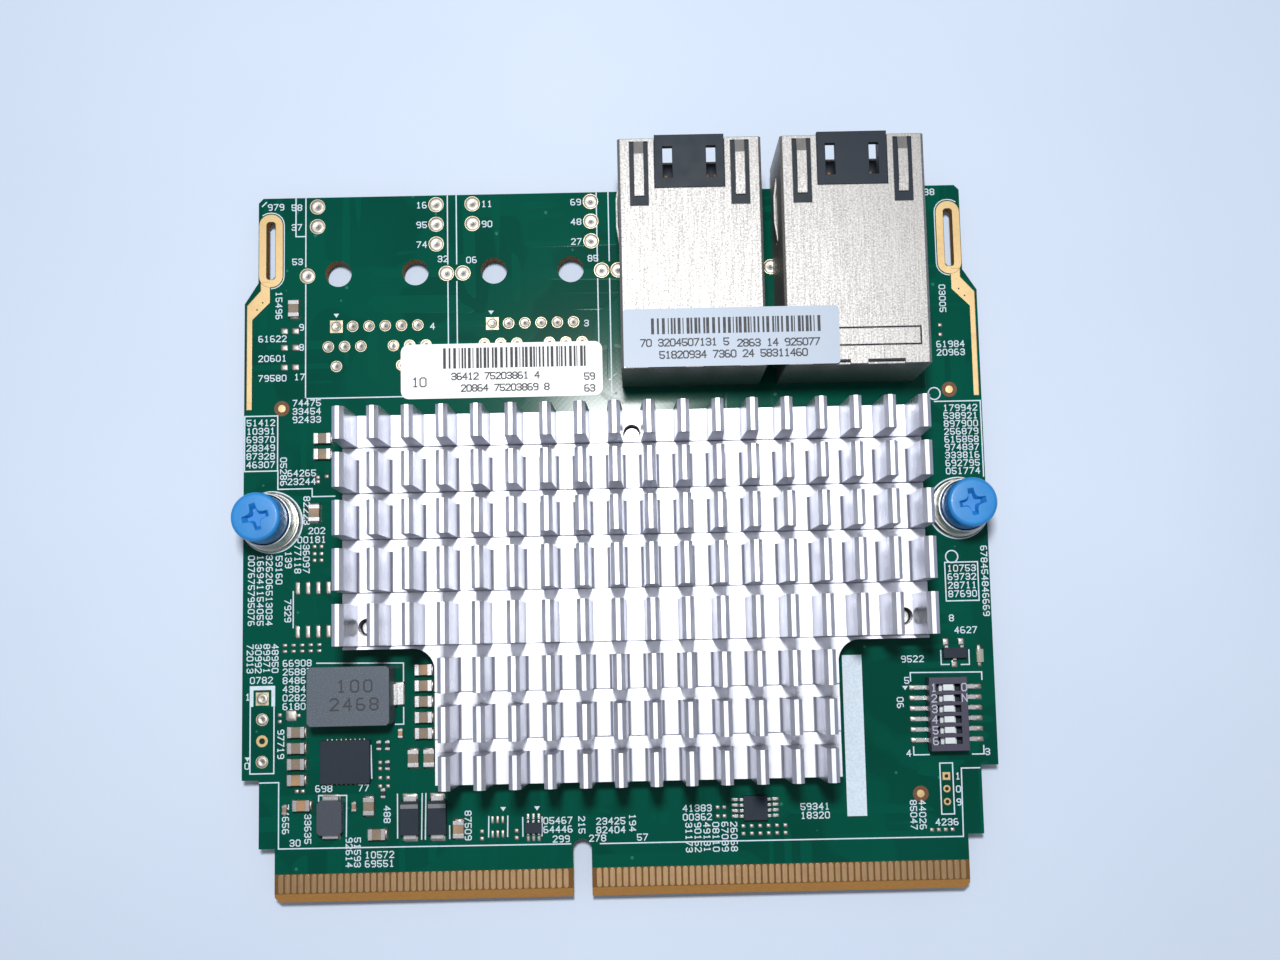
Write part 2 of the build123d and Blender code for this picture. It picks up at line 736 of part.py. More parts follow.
lead_start = switch_width / 2
lead_end = switch_width / 2 + lead_reach
lead_profile = [
    (lead_start, 0),
    (lead_end, 0),
    (lead_end, lead_thickness),
    (lead_start + lead_thickness, lead_thickness),
    (lead_start + lead_thickness, lead_exit_height),
    (lead_start, lead_exit_height),
]
with BuildPart() as switch_leads:
    for lead_y in slider_row:
        with BuildSketch(Plane((switch_x, lead_y, board_thickness), x_dir=(1, 0, 0), z_dir=(0, -1, 0))):
            with BuildLine():
                Polyline(*lead_profile, close=True)
            make_face()
            mirror(about=Plane.YZ)
        extrude(amount=lead_width / 2, both=True)
switch_leads.part.label = "switch_leads"
export_step(switch_leads.part, "parts/switch_leads.step")


# Power inductor with its strap ends, regulator chip, small choke and two diodes
coil_x = left_side + coil_inset
with BuildPart() as power_inductor:
    with Locations((coil_x, coil_y, board_thickness)):
        Box(coil_width, coil_depth, coil_height, align=ON_SEAT)
    chamfer(power_inductor.edges().filter_by(Axis.Z), coil_edge)
power_inductor.part.label = "power_inductor"
export_step(power_inductor.part, "parts/power_inductor.step")

strap_profile = [
    (coil_width / 2, 0),
    (coil_width / 2 + coil_strap_foot, 0),
    (coil_width / 2 + coil_strap_foot, coil_strap_thickness),
    (coil_width / 2 + coil_strap_thickness, coil_strap_thickness),
    (coil_width / 2 + coil_strap_thickness, coil_strap_height),
    (coil_width / 2, coil_strap_height),
]
with BuildPart() as power_inductor_straps:
    with BuildSketch(Plane((coil_x, coil_y, board_thickness), x_dir=(1, 0, 0), z_dir=(0, -1, 0))):
        with BuildLine():
            Polyline(*strap_profile, close=True)
        make_face()
        mirror(about=Plane.YZ)
    extrude(amount=coil_strap_width / 2, both=True)
power_inductor_straps.part.label = "power_inductor_straps"
export_step(power_inductor_straps.part, "parts/power_inductor_straps.step")

with BuildPart() as regulator_chip:
    with Locations((left_side + regulator_inset, regulator_y, board_thickness)):
        Box(regulator_width, regulator_depth, regulator_height, align=ON_SEAT)
regulator_chip.part.label = "regulator_chip"
export_step(regulator_chip.part, "parts/regulator_chip.step")

choke_x = left_side + choke_inset
with BuildPart() as small_choke:
    with Locations((choke_x, choke_y, board_thickness)):
        Box(choke_width, choke_depth, choke_height, align=ON_SEAT)
    chamfer(small_choke.edges().filter_by(Axis.Z), coil_edge)
small_choke.part.label = "small_choke"
export_step(small_choke.part, "parts/small_choke.step")

with BuildPart() as small_choke_ends:
    with Locations((choke_x, choke_y, board_thickness)):
        with GridLocations(1, choke_depth + choke_end_length, 1, 2):
            Box(choke_end_width, choke_end_length, choke_end_height, align=ON_SEAT)
small_choke_ends.part.label = "small_choke_ends"
export_step(small_choke_ends.part, "parts/small_choke_ends.step")

diode_x = left_side + diode_inset + diode_pitch / 2
with BuildPart() as diodes:
    with Locations((diode_x, diode_y, board_thickness)):
        with GridLocations(diode_pitch, 1, 2, 1):
            Box(diode_width, diode_depth, diode_height, align=ON_SEAT)
diodes.part.label = "diodes"
export_step(diodes.part, "parts/diodes.step")

with BuildPart() as diode_leads:
    with Locations((diode_x, diode_y, board_thickness)):
        with GridLocations(diode_pitch, diode_depth + diode_lead_length, 2, 2):
            Box(diode_lead_width, diode_lead_length, diode_lead_height, align=ON_SEAT)
diode_leads.part.label = "diode_leads"
export_step(diode_leads.part, "parts/diode_leads.step")


# Chip capacitors: two columns in a row pitch, then single ones, lying along X or along Y
input_x = left_side + input_capacitor_inset
output_x = left_side + output_capacitor_inset
lying_along_x = [(left_side + x, y) for x, y in single_capacitors_along_x]
lying_along_y = [(left_side + x, y) for x, y in single_capacitors_along_y]
lying_along_y += [(left_side + corner_capacitor_inset, board_depth - corner_capacitor_from_back)]

with BuildPart() as capacitors:
    capacitor_size = (capacitor_length, capacitor_width, capacitor_height)
    with Locations((input_x, input_capacitor_y, board_thickness)):
        with GridLocations(1, capacitor_row_pitch, 1, input_capacitor_count):
            Box(*capacitor_size, align=ON_SEAT)
    with Locations((output_x, output_capacitor_y, board_thickness)):
        with GridLocations(1, capacitor_row_pitch, 1, output_capacitor_count):
            Box(*capacitor_size, align=ON_SEAT)
    with Locations(*[(x, y, board_thickness) for x, y in lying_along_x]):
        Box(*capacitor_size, align=ON_SEAT)
    with Locations(*[(x, y, board_thickness) for x, y in lying_along_y]):
        Box(*capacitor_size, rotation=(0, 0, 90), align=ON_SEAT)
    with Locations(*[(left_side + x, y, board_thickness) for x, y in small_capacitors_along_y]):
        Box(small_capacitor_width, small_capacitor_length, small_capacitor_height, align=ON_SEAT)
capacitors.part.label = "capacitors"
export_step(capacitors.part, "parts/capacitors.step")

with BuildPart() as resistors:
    with Locations(*[(left_side + x, y, board_thickness) for x, y in single_resistors]):
        Box(resistor_width, resistor_length, resistor_height, align=ON_SEAT)
resistors.part.label = "resistors"
export_step(resistors.part, "parts/resistors.step")


# Small transistor, transistor array, memory chip and status lamp
transistor_x = right_side - transistor_inset
with BuildPart() as transistors:
    with Locations((transistor_x, transistor_y, board_thickness)):
        Box(transistor_width, transistor_depth, transistor_height, align=ON_SEAT)
    with Locations((small_array_x, small_array_y, board_thickness)):
        Box(small_array_width, small_array_depth, small_array_height, align=ON_SEAT)
transistors.part.label = "transistors"
export_step(transistors.part, "parts/transistors.step")

with BuildPart() as memory_chip:
    with Locations((memory_x, memory_y, board_thickness)):
        Box(memory_size, memory_size, memory_height, align=ON_SEAT)
memory_chip.part.label = "memory_chip"
export_step(memory_chip.part, "parts/memory_chip.step")

with BuildPart() as status_lamp:
    with Locations((right_side - lamp_inset, lamp_y, board_thickness)):
        Box(status_lamp_width, status_lamp_length, status_lamp_height, align=ON_SEAT)
status_lamp.part.label = "status_lamp"
export_step(status_lamp.part, "parts/status_lamp.step")


# Paper labels: one on the bare board, one across the two jacks
board_label_y = board_depth - board_label_from_back
jack_label_x = first_jack_x + jack_label_from_first_jack
jack_label_y = jack_rear_y + jack_label_from_rear
label_places = {
    "board_label": Plane((board_label_x, board_label_y, board_thickness)),
    "jack_label": Plane((jack_label_x, jack_label_y, board_thickness + jack_height)),
}
for label_name, label_plane in label_places.items():
    with BuildPart() as label:
        with BuildSketch(label_plane):
            Rectangle(label_width, label_depth)
        extrude(amount=label_thickness)
    label.part.label = label_name
    export_step(label.part, f"parts/{label_name}.step")
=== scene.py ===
import logging
import math
from dataclasses import dataclass
from enum import Enum
from typing import Sequence, Union

import bpy
import numpy as np
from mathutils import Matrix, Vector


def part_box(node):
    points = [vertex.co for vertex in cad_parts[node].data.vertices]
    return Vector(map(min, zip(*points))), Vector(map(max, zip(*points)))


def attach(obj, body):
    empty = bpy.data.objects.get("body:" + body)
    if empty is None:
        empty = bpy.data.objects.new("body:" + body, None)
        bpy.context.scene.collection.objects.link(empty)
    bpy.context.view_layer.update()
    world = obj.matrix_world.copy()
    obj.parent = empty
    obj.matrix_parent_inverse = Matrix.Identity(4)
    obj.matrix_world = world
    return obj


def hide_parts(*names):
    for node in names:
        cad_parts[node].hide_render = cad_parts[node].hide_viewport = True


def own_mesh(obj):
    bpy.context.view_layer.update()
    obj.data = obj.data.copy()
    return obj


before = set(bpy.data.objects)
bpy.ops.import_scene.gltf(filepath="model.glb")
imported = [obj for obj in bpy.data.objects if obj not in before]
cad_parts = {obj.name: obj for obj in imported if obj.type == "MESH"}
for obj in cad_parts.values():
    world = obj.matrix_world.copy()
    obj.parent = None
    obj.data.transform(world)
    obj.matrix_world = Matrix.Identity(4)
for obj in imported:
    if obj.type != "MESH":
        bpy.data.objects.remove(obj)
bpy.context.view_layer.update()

MM = 0.001
FULL_TURN = 2 * math.pi
QUARTER = math.pi / 2
BOARD_TOP = 1.57
OVERLAP_STEP = 0.0012
OVERLAP_STEPS = 5
LOG = logging.getLogger("network_card")
Colour = tuple[float, float, float]
Place = tuple[float, float]
Socket = bpy.types.NodeSocket
Feed = Union[float, Sequence[float], Socket]
Inputs = dict[str, Feed]


def srgb(red: int, green: int, blue: int) -> Colour:
    """Turn a colour read off a screen into the linear values that a shader takes, by the standard curve.

    Args:
        red, green, blue: screen values from 0 to 255.

    Returns:
        The three linear values.
    """
    value = np.array([red, green, blue]) / 255
    linear = np.where(value <= 0.04045, value / 12.92, ((value + 0.055) / 1.055) ** 2.4)
    return tuple(float(part) for part in linear)


def scaled(colour: Colour, share: float) -> Colour:
    """Darken or lighten a colour by one share."""
    return tuple(part * share for part in colour)


def spaced(start: float, step: float, count: int) -> list[float]:
    """Values one step apart."""
    return [start + step * number for number in range(count)]


def crossed(columns: Sequence[float], rows: Sequence[float]) -> list[Place]:
    """Every place where a column meets a row."""
    return [(x, y) for x in columns for y in rows]


# Meshes

@dataclass
class Shape:
    """Points in millimetres and the faces between them.

    Attributes:
        points: one row of x, y, z for each point.
        faces: arrays of corner numbers, each array with one corner count.
    """

    points: np.ndarray
    faces: list[np.ndarray]

    def volume(self) -> float:
        """Add up the signed tetrahedra from the origin to each face, fanned from its first corner.

        Returns:
            The volume, negative where the shape is inside out.
        """
        total = 0.0
        for group in self.faces:
            corners = self.points[group]
            second, third = corners[:, 1:-1], corners[:, 2:]
            first = np.broadcast_to(corners[:, :1], second.shape)
            total += float(np.einsum("ijk,ijk->", first, np.cross(second, third))) / 6
        return total

    def outward(self) -> "Shape":
        """Turn every face round if the shape is inside out.

        Returns:
            The same shape.
        """
        if self.volume() < 0:
            self.faces = [group[:, ::-1] for group in self.faces]
        return self

    def moved(self, x: float = 0.0, y: float = 0.0, z: float = 0.0, turn: float = 0.0) -> "Shape":
        """Turn the shape about Z and carry it to a place.

        Args:
            x, y, z: the place, in millimetres.
            turn: degrees, anticlockwise from above.

        Returns:
            The shape at its place.
        """
        cosine, sine = math.cos(math.radians(turn)), math.sin(math.radians(turn))
        spin = np.array([[cosine, sine, 0], [-sine, cosine, 0], [0, 0, 1]])
        return Shape(self.points @ spin + (x, y, z), self.faces)

    def mirrored(self, axis: int, about: float = 0.0) -> "Shape":
        """Mirror the shape along one axis.

        Args:
            axis: 0, 1 or 2 for X, Y or Z.
            about: the value on that axis that stays where it is.

        Returns:
            The mirror image, with its faces turned outwards again.
        """
        points = self.points.copy()
        points[:, axis] = 2 * about - points[:, axis]
        return Shape(points, [group[:, ::-1] for group in self.faces])

    def fitted(self, places: np.ndarray, sizes: np.ndarray) -> "Shape":
        """Repeat the shape, stretched to each size and carried to each place.

        Args:
            places: one row of x, y, z for each copy.
            sizes: one row of factors along X, Y and Z for each copy.

        Returns:
            All the copies as one shape.
        """
        points = places[:, None] + self.points[None] * sizes[:, None]
        steps = np.arange(len(places))[:, None, None] * len(self.points)
        faces = [(steps + group[None]).reshape(-1, group.shape[1]) for group in self.faces]
        return Shape(points.reshape(-1, 3), faces)

    def tiled(self, places: Sequence[Sequence[float]], z: float = 0.0) -> "Shape":
        """Repeat the shape at each place of x and y, all at one height."""
        flat = np.asarray(places, float)
        return self.fitted(np.column_stack([flat, np.full(len(flat), z)]), np.ones((len(flat), 3)))


def joined(shapes: Sequence[Shape]) -> Shape:
    """Gather shapes into one, each with its own points.

    Args:
        shapes: the shapes, in order.

    Returns:
        One shape that holds them all.
    """
    starts = np.cumsum([0] + [len(shape.points) for shape in shapes])
    faces = [group + start for shape, start in zip(shapes, starts) for group in shape.faces]
    return Shape(np.concatenate([shape.points for shape in shapes]), faces)


def both_sides(shape: Shape) -> Shape:
    """The shape and its mirror image on the other side of the card's middle."""
    return joined([shape, shape.mirrored(0)])


def both_faces(shape: Shape) -> Shape:
    """The shape on the board's top face, and its mirror image on the underside."""
    return joined([shape.moved(z=BOARD_TOP), shape.mirrored(2)])


def grid_faces(rows: int, columns: int, wrap_rows: bool = False, wrap_columns: bool = True) -> np.ndarray:
    """Number the quads of a grid of points, closed in one direction or both.

    Args:
        rows, columns: how many points the grid has each way.
        wrap_rows, wrap_columns: whether the last line joins the first.

    Returns:
        One row of four corners for each quad.
    """
    index = np.arange(rows * columns).reshape(rows, columns)
    if wrap_rows:
        index = np.concatenate([index, index[:1]])
    if wrap_columns:
        index = np.concatenate([index, index[:, :1]], axis=1)
    quads = [index[:-1, :-1], index[:-1, 1:], index[1:, 1:], index[1:, :-1]]
    return np.stack(quads, axis=-1).reshape(-1, 4)


def skin(rings: np.ndarray, closed: bool = False) -> Shape:
    """Join rings of points, each to the next.

    Args:
        rings: the points, by ring, by place round the ring, and as x, y, z.
        closed: whether the last ring joins the first; otherwise both ends get a flat face.

    Returns:
        The closed shape.
    """
    count, around = rings.shape[:2]
    faces = [grid_faces(count, around, wrap_rows=closed)]
    if not closed:
        ring = np.arange(around)[None]
        faces += [ring[:, ::-1], ring + (count - 1) * around]
    return Shape(rings.reshape(-1, 3), faces).outward()


def stacked(outlines: Sequence[tuple[np.ndarray, float]]) -> np.ndarray:
    """Lift each flat outline to its own height, as rings of points."""
    return np.stack([np.column_stack([outline, np.full(len(outline), z)]) for outline, z in outlines])


def plates(outlines: np.ndarray, low: float, high: float) -> Shape:
    """Carry each flat outline straight up, closed at both ends.

    Args:
        outlines: rows of corners, each corner x and y.
        low, high: the heights of the two ends.

    Returns:
        One closed plate for each outline.
    """
    flat = np.asarray(outlines, float)
    count, corners = flat.shape[:2]
    heights = np.broadcast_to(np.repeat([low, high], corners)[None, :, None], (count, 2 * corners, 1))
    points = np.concatenate([np.tile(flat, (1, 2, 1)), heights], axis=2)
    here = np.arange(corners)
    after = np.roll(here, -1)
    sides = np.stack([here, after, after + corners, here + corners], axis=1)
    steps = (np.arange(count) * 2 * corners)[:, None, None]
    parts = (sides, here[None, ::-1], here[None] + corners)
    faces = [(steps + part[None]).reshape(-1, part.shape[1]) for part in parts]
    return Shape(points.reshape(-1, 3), faces).outward()


def prism(outline: Sequence[Sequence[float]], low: float, high: float) -> Shape:
    """Carry one flat outline straight up from one height to another."""
    return plates(np.asarray(outline, float)[None], low, high)


def block(width: float, depth: float, height: float) -> Shape:
    """A box, centred on X and Y and standing on Z = 0."""
    corners = np.array([[-1, -1], [1, -1], [1, 1], [-1, 1]]) * (width / 2, depth / 2)
    return prism(corners, 0, height)


def boxes(low: np.ndarray, high: np.ndarray) -> Shape:
    """One box for each pair of lower and upper corners."""
    return block(1, 1, 1).moved(0.5, 0.5).fitted(low, high - low)


def bars(segments: np.ndarray, width: float, low: float, high: float) -> Shape:
    """Draw each line as a thin bar, longer by half its width at both ends.

    Where bars cross, their tops lie a hair apart, so that no two faces coincide.

    Args:
        segments: one row of x1, y1, x2, y2 for each line.
        width: how wide the bars are.
        low, high: the heights of their two faces.

    Returns:
        One closed bar for each line.
    """
    ends = np.asarray(segments, float).reshape(-1, 2, 2)
    along = ends[:, 1] - ends[:, 0]
    along = along / np.linalg.norm(along, axis=1, keepdims=True) * width / 2
    across = along[:, ::-1] * (-1, 1)
    start, end = ends[:, 0] - along, ends[:, 1] + along
    outlines = np.stack([start - across, end - across, end + across, start + across], axis=1)
    shape = plates(outlines, low, high)
    tops = shape.points.reshape(len(ends), 2, 4, 3)[:, 1, :, 2]
    tops += (np.arange(len(ends)) % OVERLAP_STEPS * OVERLAP_STEP)[:, None]
    return shape


def circle(radius: float, segments: int) -> np.ndarray:
    """The corners of a round outline about the origin."""
    angle = np.linspace(0, FULL_TURN, segments, endpoint=False)
    return radius * np.stack([np.cos(angle), np.sin(angle)], axis=1)


def rounded_rectangle(width: float, depth: float, radius: float, steps: int = 6) -> np.ndarray:
    """The corners of a rectangle about the origin, with a quarter circle at each corner.

    Args:
        width, depth: the rectangle's full size.
        radius: the quarter circles' radius.
        steps: how many points each quarter circle has.

    Returns:
        One row of x and y for each corner.
    """
    angle = (np.linspace(0, QUARTER, steps)[None] + (np.arange(4) * QUARTER)[:, None]).ravel()
    sign = np.repeat([[1, 1], [-1, 1], [-1, -1], [1, -1]], steps, axis=0)
    middle = (width / 2 - radius, depth / 2 - radius)
    return sign * middle + radius * np.stack([np.cos(angle), np.sin(angle)], axis=1)


def lathe(profile: Sequence[Sequence[float]], segments: int, closed: bool = False) -> Shape:
    """Carry a profile round the Z axis.

    Args:
        profile: rows of radius and height.
        segments: how many steps the full turn has.
        closed: whether the profile ends where it starts; an open one gets flat ends.

    Returns:
        The turned shape.
    """
    line = np.asarray(profile, float)
    flat = line[:, None, :1] * circle(1.0, segments)[None]
    height = np.broadcast_to(line[:, None, 1:], (len(line), segments, 1))
    return skin(np.concatenate([flat, height], axis=2), closed)


def pillow(width: float, depth: float, height: float, steps: int = 7) -> Shape:
    """A blob of solder: height falls with the fourth power towards each edge of a rectangle.

    Args:
        width, depth, height: its full size.
        steps: how many points its grid has each way.

    Returns:
        The blob, centred on X and Y, with a flat underside.
    """
    u, v = np.meshgrid(np.linspace(-1, 1, steps), np.linspace(-1, 1, steps), indexing="ij")
    crown = (1 - u ** 4) * (1 - v ** 4) * height
    points = np.stack([u * width / 2, v * depth / 2, crown], axis=-1).reshape(-1, 3)
    index = np.arange(steps * steps).reshape(steps, steps)
    rim = np.concatenate([index[:-1, 0], index[-1, :-1], index[:0:-1, -1], index[0, :0:-1]])
    return Shape(points, [grid_faces(steps, steps, wrap_columns=False)[:, ::-1], rim[None, ::-1]]).outward()


def solid_boxes(node: str) -> tuple[np.ndarray, np.ndarray]:
    """Read the box of each solid in a node of plain boxes.

    Args:
        node: the node's name.

    Returns:
        The solids' lower corners and their upper corners, in millimetres.
    """
    corners_of_a_box = 24
    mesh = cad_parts[node].data
    places = np.empty(len(mesh.vertices) * 3, np.float32)
    mesh.vertices.foreach_get("co", places)
    solids = places.reshape(-1, corners_of_a_box, 3).astype(float) / MM
    return solids.min(axis=1), solids.max(axis=1)


def ring_plate(outer: np.ndarray, inner: np.ndarray, low: float, high: float) -> Shape:
    """A flat plate between two outlines with equal corner counts, closed all round."""
    return skin(stacked([(inner, low), (outer, low), (outer, high), (inner, high)]), closed=True)


def gull_wing(reach: float, height: float, width: float, thickness: float = 0.15) -> Shape:
    """A bent lead: out from the body along +X at a height, down a slope, then along the board.

    Args:
        reach: how far the lead's end lies from the body.
        height: how high it leaves the body.
        width, thickness: the size of its strip.

    Returns:
        The lead, with the body's side at the origin.
    """
    shoulder, heel = reach * 0.35, reach * 0.6
    line = np.array([[0, height], [shoulder, height], [heel, thickness], [reach, thickness]])
    outline = np.concatenate([line, (line - (0, thickness))[::-1]])
    shape = prism(outline, -width / 2, width / 2)
    return Shape(shape.points[:, [0, 2, 1]], shape.faces).outward()


def soldered_hole(radius: float) -> Shape:
    """A plated hole full of solder: a raised ring that sinks to a crater in its middle."""
    profile = [(1.0, 0.0), (0.96, 0.03), (0.75, 0.1), (0.45, 0.07), (0.2, 0.02), (0.05, 0.01)]
    return lathe([(radius * share, height) for share, height in profile], 24)


# Printed strokes

STROKES = {
    "0": "103041453616050110",
    "1": "152620 1030",
    "2": "05163645440040",
    "3": "05163645443313 334241301001",
    "4": "30360242",
    "5": "460603334241301001",
    "6": "36160501103041423303",
    "7": "064610",
    "8": "13040516364544331302011030414233",
    "9": "10304145361605041343",
    "O": "103041453616050110",
    "N": "00064046",
}
GRID_HEIGHT = 6
GRID_ADVANCE = 6.1


def lettering(text: str, x: float, y: float, height: float, down: bool = False,
              advance: float = GRID_ADVANCE) -> np.ndarray:
    """Write a text in straight strokes.

    Each letter is one or more chains of points on a grid 4 wide and 6 high.

    Args:
        text: digits, blanks, or the letters of the switch's word.
        x, y: the first letter's lower left corner, or the upper right one where the text reads downwards.
        height: how tall a letter is.
        down: whether the text reads downwards, with its letters turned clockwise.
        advance: how far the next letter starts, on the grid.

    Returns:
        One row of x1, y1, x2, y2 for each stroke.
    """
    unit = height / GRID_HEIGHT
    chains = []
    for place, letter in enumerate(text):
        for chain in STROKES.get(letter, "").split():
            dots = np.array([int(digit) for digit in chain], float).reshape(-1, 2) + (place * advance, 0)
            chains.append(np.concatenate([dots[:-1], dots[1:]], axis=1) * unit)
    lines = np.concatenate(chains)
    if down:
        lines = lines[:, [1, 0, 3, 2]] * (1, -1, 1, -1) - (height, 0, height, 0)
    return lines + (x, y, x, y)


def polyline(*corners: Sequence[float]) -> np.ndarray:
    """The straight lines that join corners in turn, one row of x1, y1, x2, y2 each."""
    dots = np.asarray(corners, float)
    return np.concatenate([dots[:-1], dots[1:]], axis=1)


def rectangle(left: float, low: float, right: float, high: float) -> np.ndarray:
    """The four sides of a rectangle."""
    return polyline((left, low), (right, low), (right, high), (left, high), (left, low))


# Finishes

class Grain(Enum):
    """The direction in which a metal's fine lines run."""

    EVEN = (1.0, 1.0, 1.0)
    ALONG_Y = (1.0, 0.04, 1.0)


class Recipe:
    """A material under construction, with a short call for each node that the finishes use."""

    def __init__(self, name: str) -> None:
        """Start a material with one shader, and coordinates in millimetres.

        Args:
            name: the material's name.
        """
        self.material = bpy.data.materials.new(name)
        self.material.use_nodes = True
        self.tree = self.material.node_tree
        self.tree.nodes.clear()
        self.shader = self.tree.nodes.new("ShaderNodeBsdfPrincipled")
        output = self.tree.nodes.new("ShaderNodeOutputMaterial")
        self.tree.links.new(self.shader.outputs[0], output.inputs[0])
        self.mm = self.stretched(self.add("TexCoord", "Object", {}), (1 / MM, 1 / MM, 1 / MM))

    def feed(self, socket: Socket, value: Feed | None) -> None:
        """Link an input to another node, or set its value.

        Args:
            socket: the input.
            value: a node's output, a number, a vector or a colour; None leaves the input as it is.
        """
        if isinstance(value, Socket):
            self.tree.links.new(value, socket)
        elif value is not None:
            socket.default_value = (*value, 1.0) if socket.type == "RGBA" else value

    def add(self, kind: str, output: str | int, inputs: dict[str | int, Feed | None],
            **options: object) -> Socket:
        """Add a node, set its options and feed its inputs.

        Args:
            kind: the node's type, without its common first part.
            output: the name or number of the output that is wanted.
            inputs: what goes into each input, by name or number.
            options: the node's own settings.

        Returns:
            The wanted output.
        """
        made = self.tree.nodes.new(f"ShaderNode{kind}")
        for option, value in options.items():
            setattr(made, option, value)
        for name, value in inputs.items():
            self.feed(made.inputs[name], value)
        return made.outputs[output]

    def set(self, inputs: Inputs) -> None:
        """Feed the shader's own inputs."""
        for name, value in inputs.items():
            self.feed(self.shader.inputs[name], value)

    def stretched(self, vector: Feed, factors: Feed) -> Socket:
        """Multiply a vector part by part."""
        return self.add("VectorMath", "Vector", {0: vector, 1: factors}, operation="MULTIPLY")

    def math(self, operation: str, first: Feed, second: Feed = 0.0) -> Socket:
        """Work on one number or two."""
        return self.add("Math", 0, {0: first, 1: second}, operation=operation)

    def times(self, first: Feed, second: Feed) -> Socket:
        """The product of two numbers."""
        return self.math("MULTIPLY", first, second)

    def plus(self, first: Feed, second: Feed) -> Socket:
        """The sum of two numbers."""
        return self.math("ADD", first, second)

    def larger(self, first: Feed, second: Feed) -> Socket:
        """The larger of two numbers."""
        return self.math("MAXIMUM", first, second)

    def axis(self, letter: str, source: Feed | None = None) -> Socket:
        """One coordinate, in millimetres unless another vector is given."""
        return self.add("SeparateXYZ", letter, {0: self.mm if source is None else source})

    def attribute(self, name: str) -> Socket:
        """A value that the mesh keeps for each face, 0 where it has none."""
        return self.add("Attribute", "Fac", {}, attribute_name=name)

    def noise(self, size: float, detail: float = 2.0, stretch: Sequence[float] = (1, 1, 1)) -> Socket:
        """Cloudy noise whose features are about one size, in millimetres."""
        place = self.stretched(self.mm, stretch)
        return self.add("TexNoise", "Fac", {"Vector": place, "Scale": 1 / size, "Detail": detail})

    def cells(self, size: float) -> Socket:
        """The distance to the nearest centre of irregular cells of about one size."""
        return self.add("TexVoronoi", "Distance", {"Vector": self.mm, "Scale": 1 / size})

    def ramp(self, value: Feed, start: float, end: float, low: float = 0.0, high: float = 1.0) -> Socket:
        """Carry a range of one value onto another, held at both ends."""
        ends = {"From Min": start, "From Max": end, "To Min": low, "To Max": high}
        return self.add("MapRange", 0, {"Value": value, **ends})

    def mix(self, share: Feed, first: Feed, second: Feed) -> Socket:
        """Mix two colours."""
        return self.add("Mix", 2, {"Factor": share, 6: first, 7: second}, data_type="RGBA")

    def bump(self, height: Feed, depth: float, under: Feed | None = None) -> Socket:
        """Raise the surface by a height map, whose full range is a depth in millimetres."""
        return self.add("Bump", "Normal", {"Distance": depth * MM, "Height": height, "Normal": under})

    def soft_edges(self, radius: float) -> Socket:
        """A normal that rounds sharp edges by a radius in millimetres."""
        return self.add("Bevel", "Normal", {"Radius": radius * MM}, samples=4)


@dataclass(frozen=True)
class Finish:
    """What every finish has.

    Attributes:
        name: the material's name.
        slot: the record's slot that it belongs to; not used.
        colour: its main colour.
        roughness: how dull it is, from 0 to 1.
    """

    name: str
    slot: str
    colour: Colour
    roughness: float

    def material(self) -> bpy.types.Material:
        """Give the material, made on the first call.

        Returns:
            The material of this finish's name.
        """
        found = bpy.data.materials.get(self.name)
        if found is None:
            recipe = Recipe(self.name)
            recipe.set(self.inputs(recipe))
            found = recipe.material
        return found

    def inputs(self, recipe: Recipe) -> Inputs:
        """Work out the shader's inputs; each kind of finish has its own way."""
        raise NotImplementedError


@dataclass(frozen=True)
class Metal(Finish):
    """A bare metal: cloudy tarnish, fine lines and uneven gloss.

    Attributes:
        tarnish: the colour in the dull patches.
        patch: the size of those patches, in millimetres.
        patchy: how strongly they show.
        grain: which way the fine lines run.
        line: the width of the fine lines.
        depth: their depth.
        edge: the radius of the softened edges.
        skin: the share of the dullness that is left on faces marked as smooth skin.
    """

    tarnish: Colour = (0.3, 0.3, 0.3)
    patch: float = 2.0
    patchy: float = 0.5
    grain: Grain = Grain.EVEN
    line: float = 0.12
    depth: float = 0.004
    edge: float = 0.08
    skin: float = 1.0

    def inputs(self, recipe: Recipe) -> Inputs:
        """Mix the tarnish by two sizes of noise, and raise the fine lines.

        Args:
            recipe: the material under construction.

        Returns:
            What goes into the shader.
        """
        broad = recipe.noise(self.patch, 4.0)
        fine = recipe.noise(self.patch / 5, 3.0)
        lines = recipe.noise(self.line, 2.0, self.grain.value)
        share = recipe.ramp(recipe.plus(broad, recipe.times(fine, 0.5)), 0.55, 1.0, 0.0, self.patchy)
        uneven = recipe.plus(share, lines)
        dull = recipe.ramp(uneven, 0.2, 1.2, self.roughness * 0.75, self.roughness * 1.3)
        smooth = recipe.ramp(recipe.attribute("skin"), 0.0, 1.0, 1.0, self.skin)
        return {
            "Base Color": recipe.mix(share, self.colour, self.tarnish),
            "Metallic": 1.0,
            "Roughness": recipe.times(dull, smooth),
            "Normal": recipe.bump(lines, self.depth, recipe.soft_edges(self.edge)),
        }


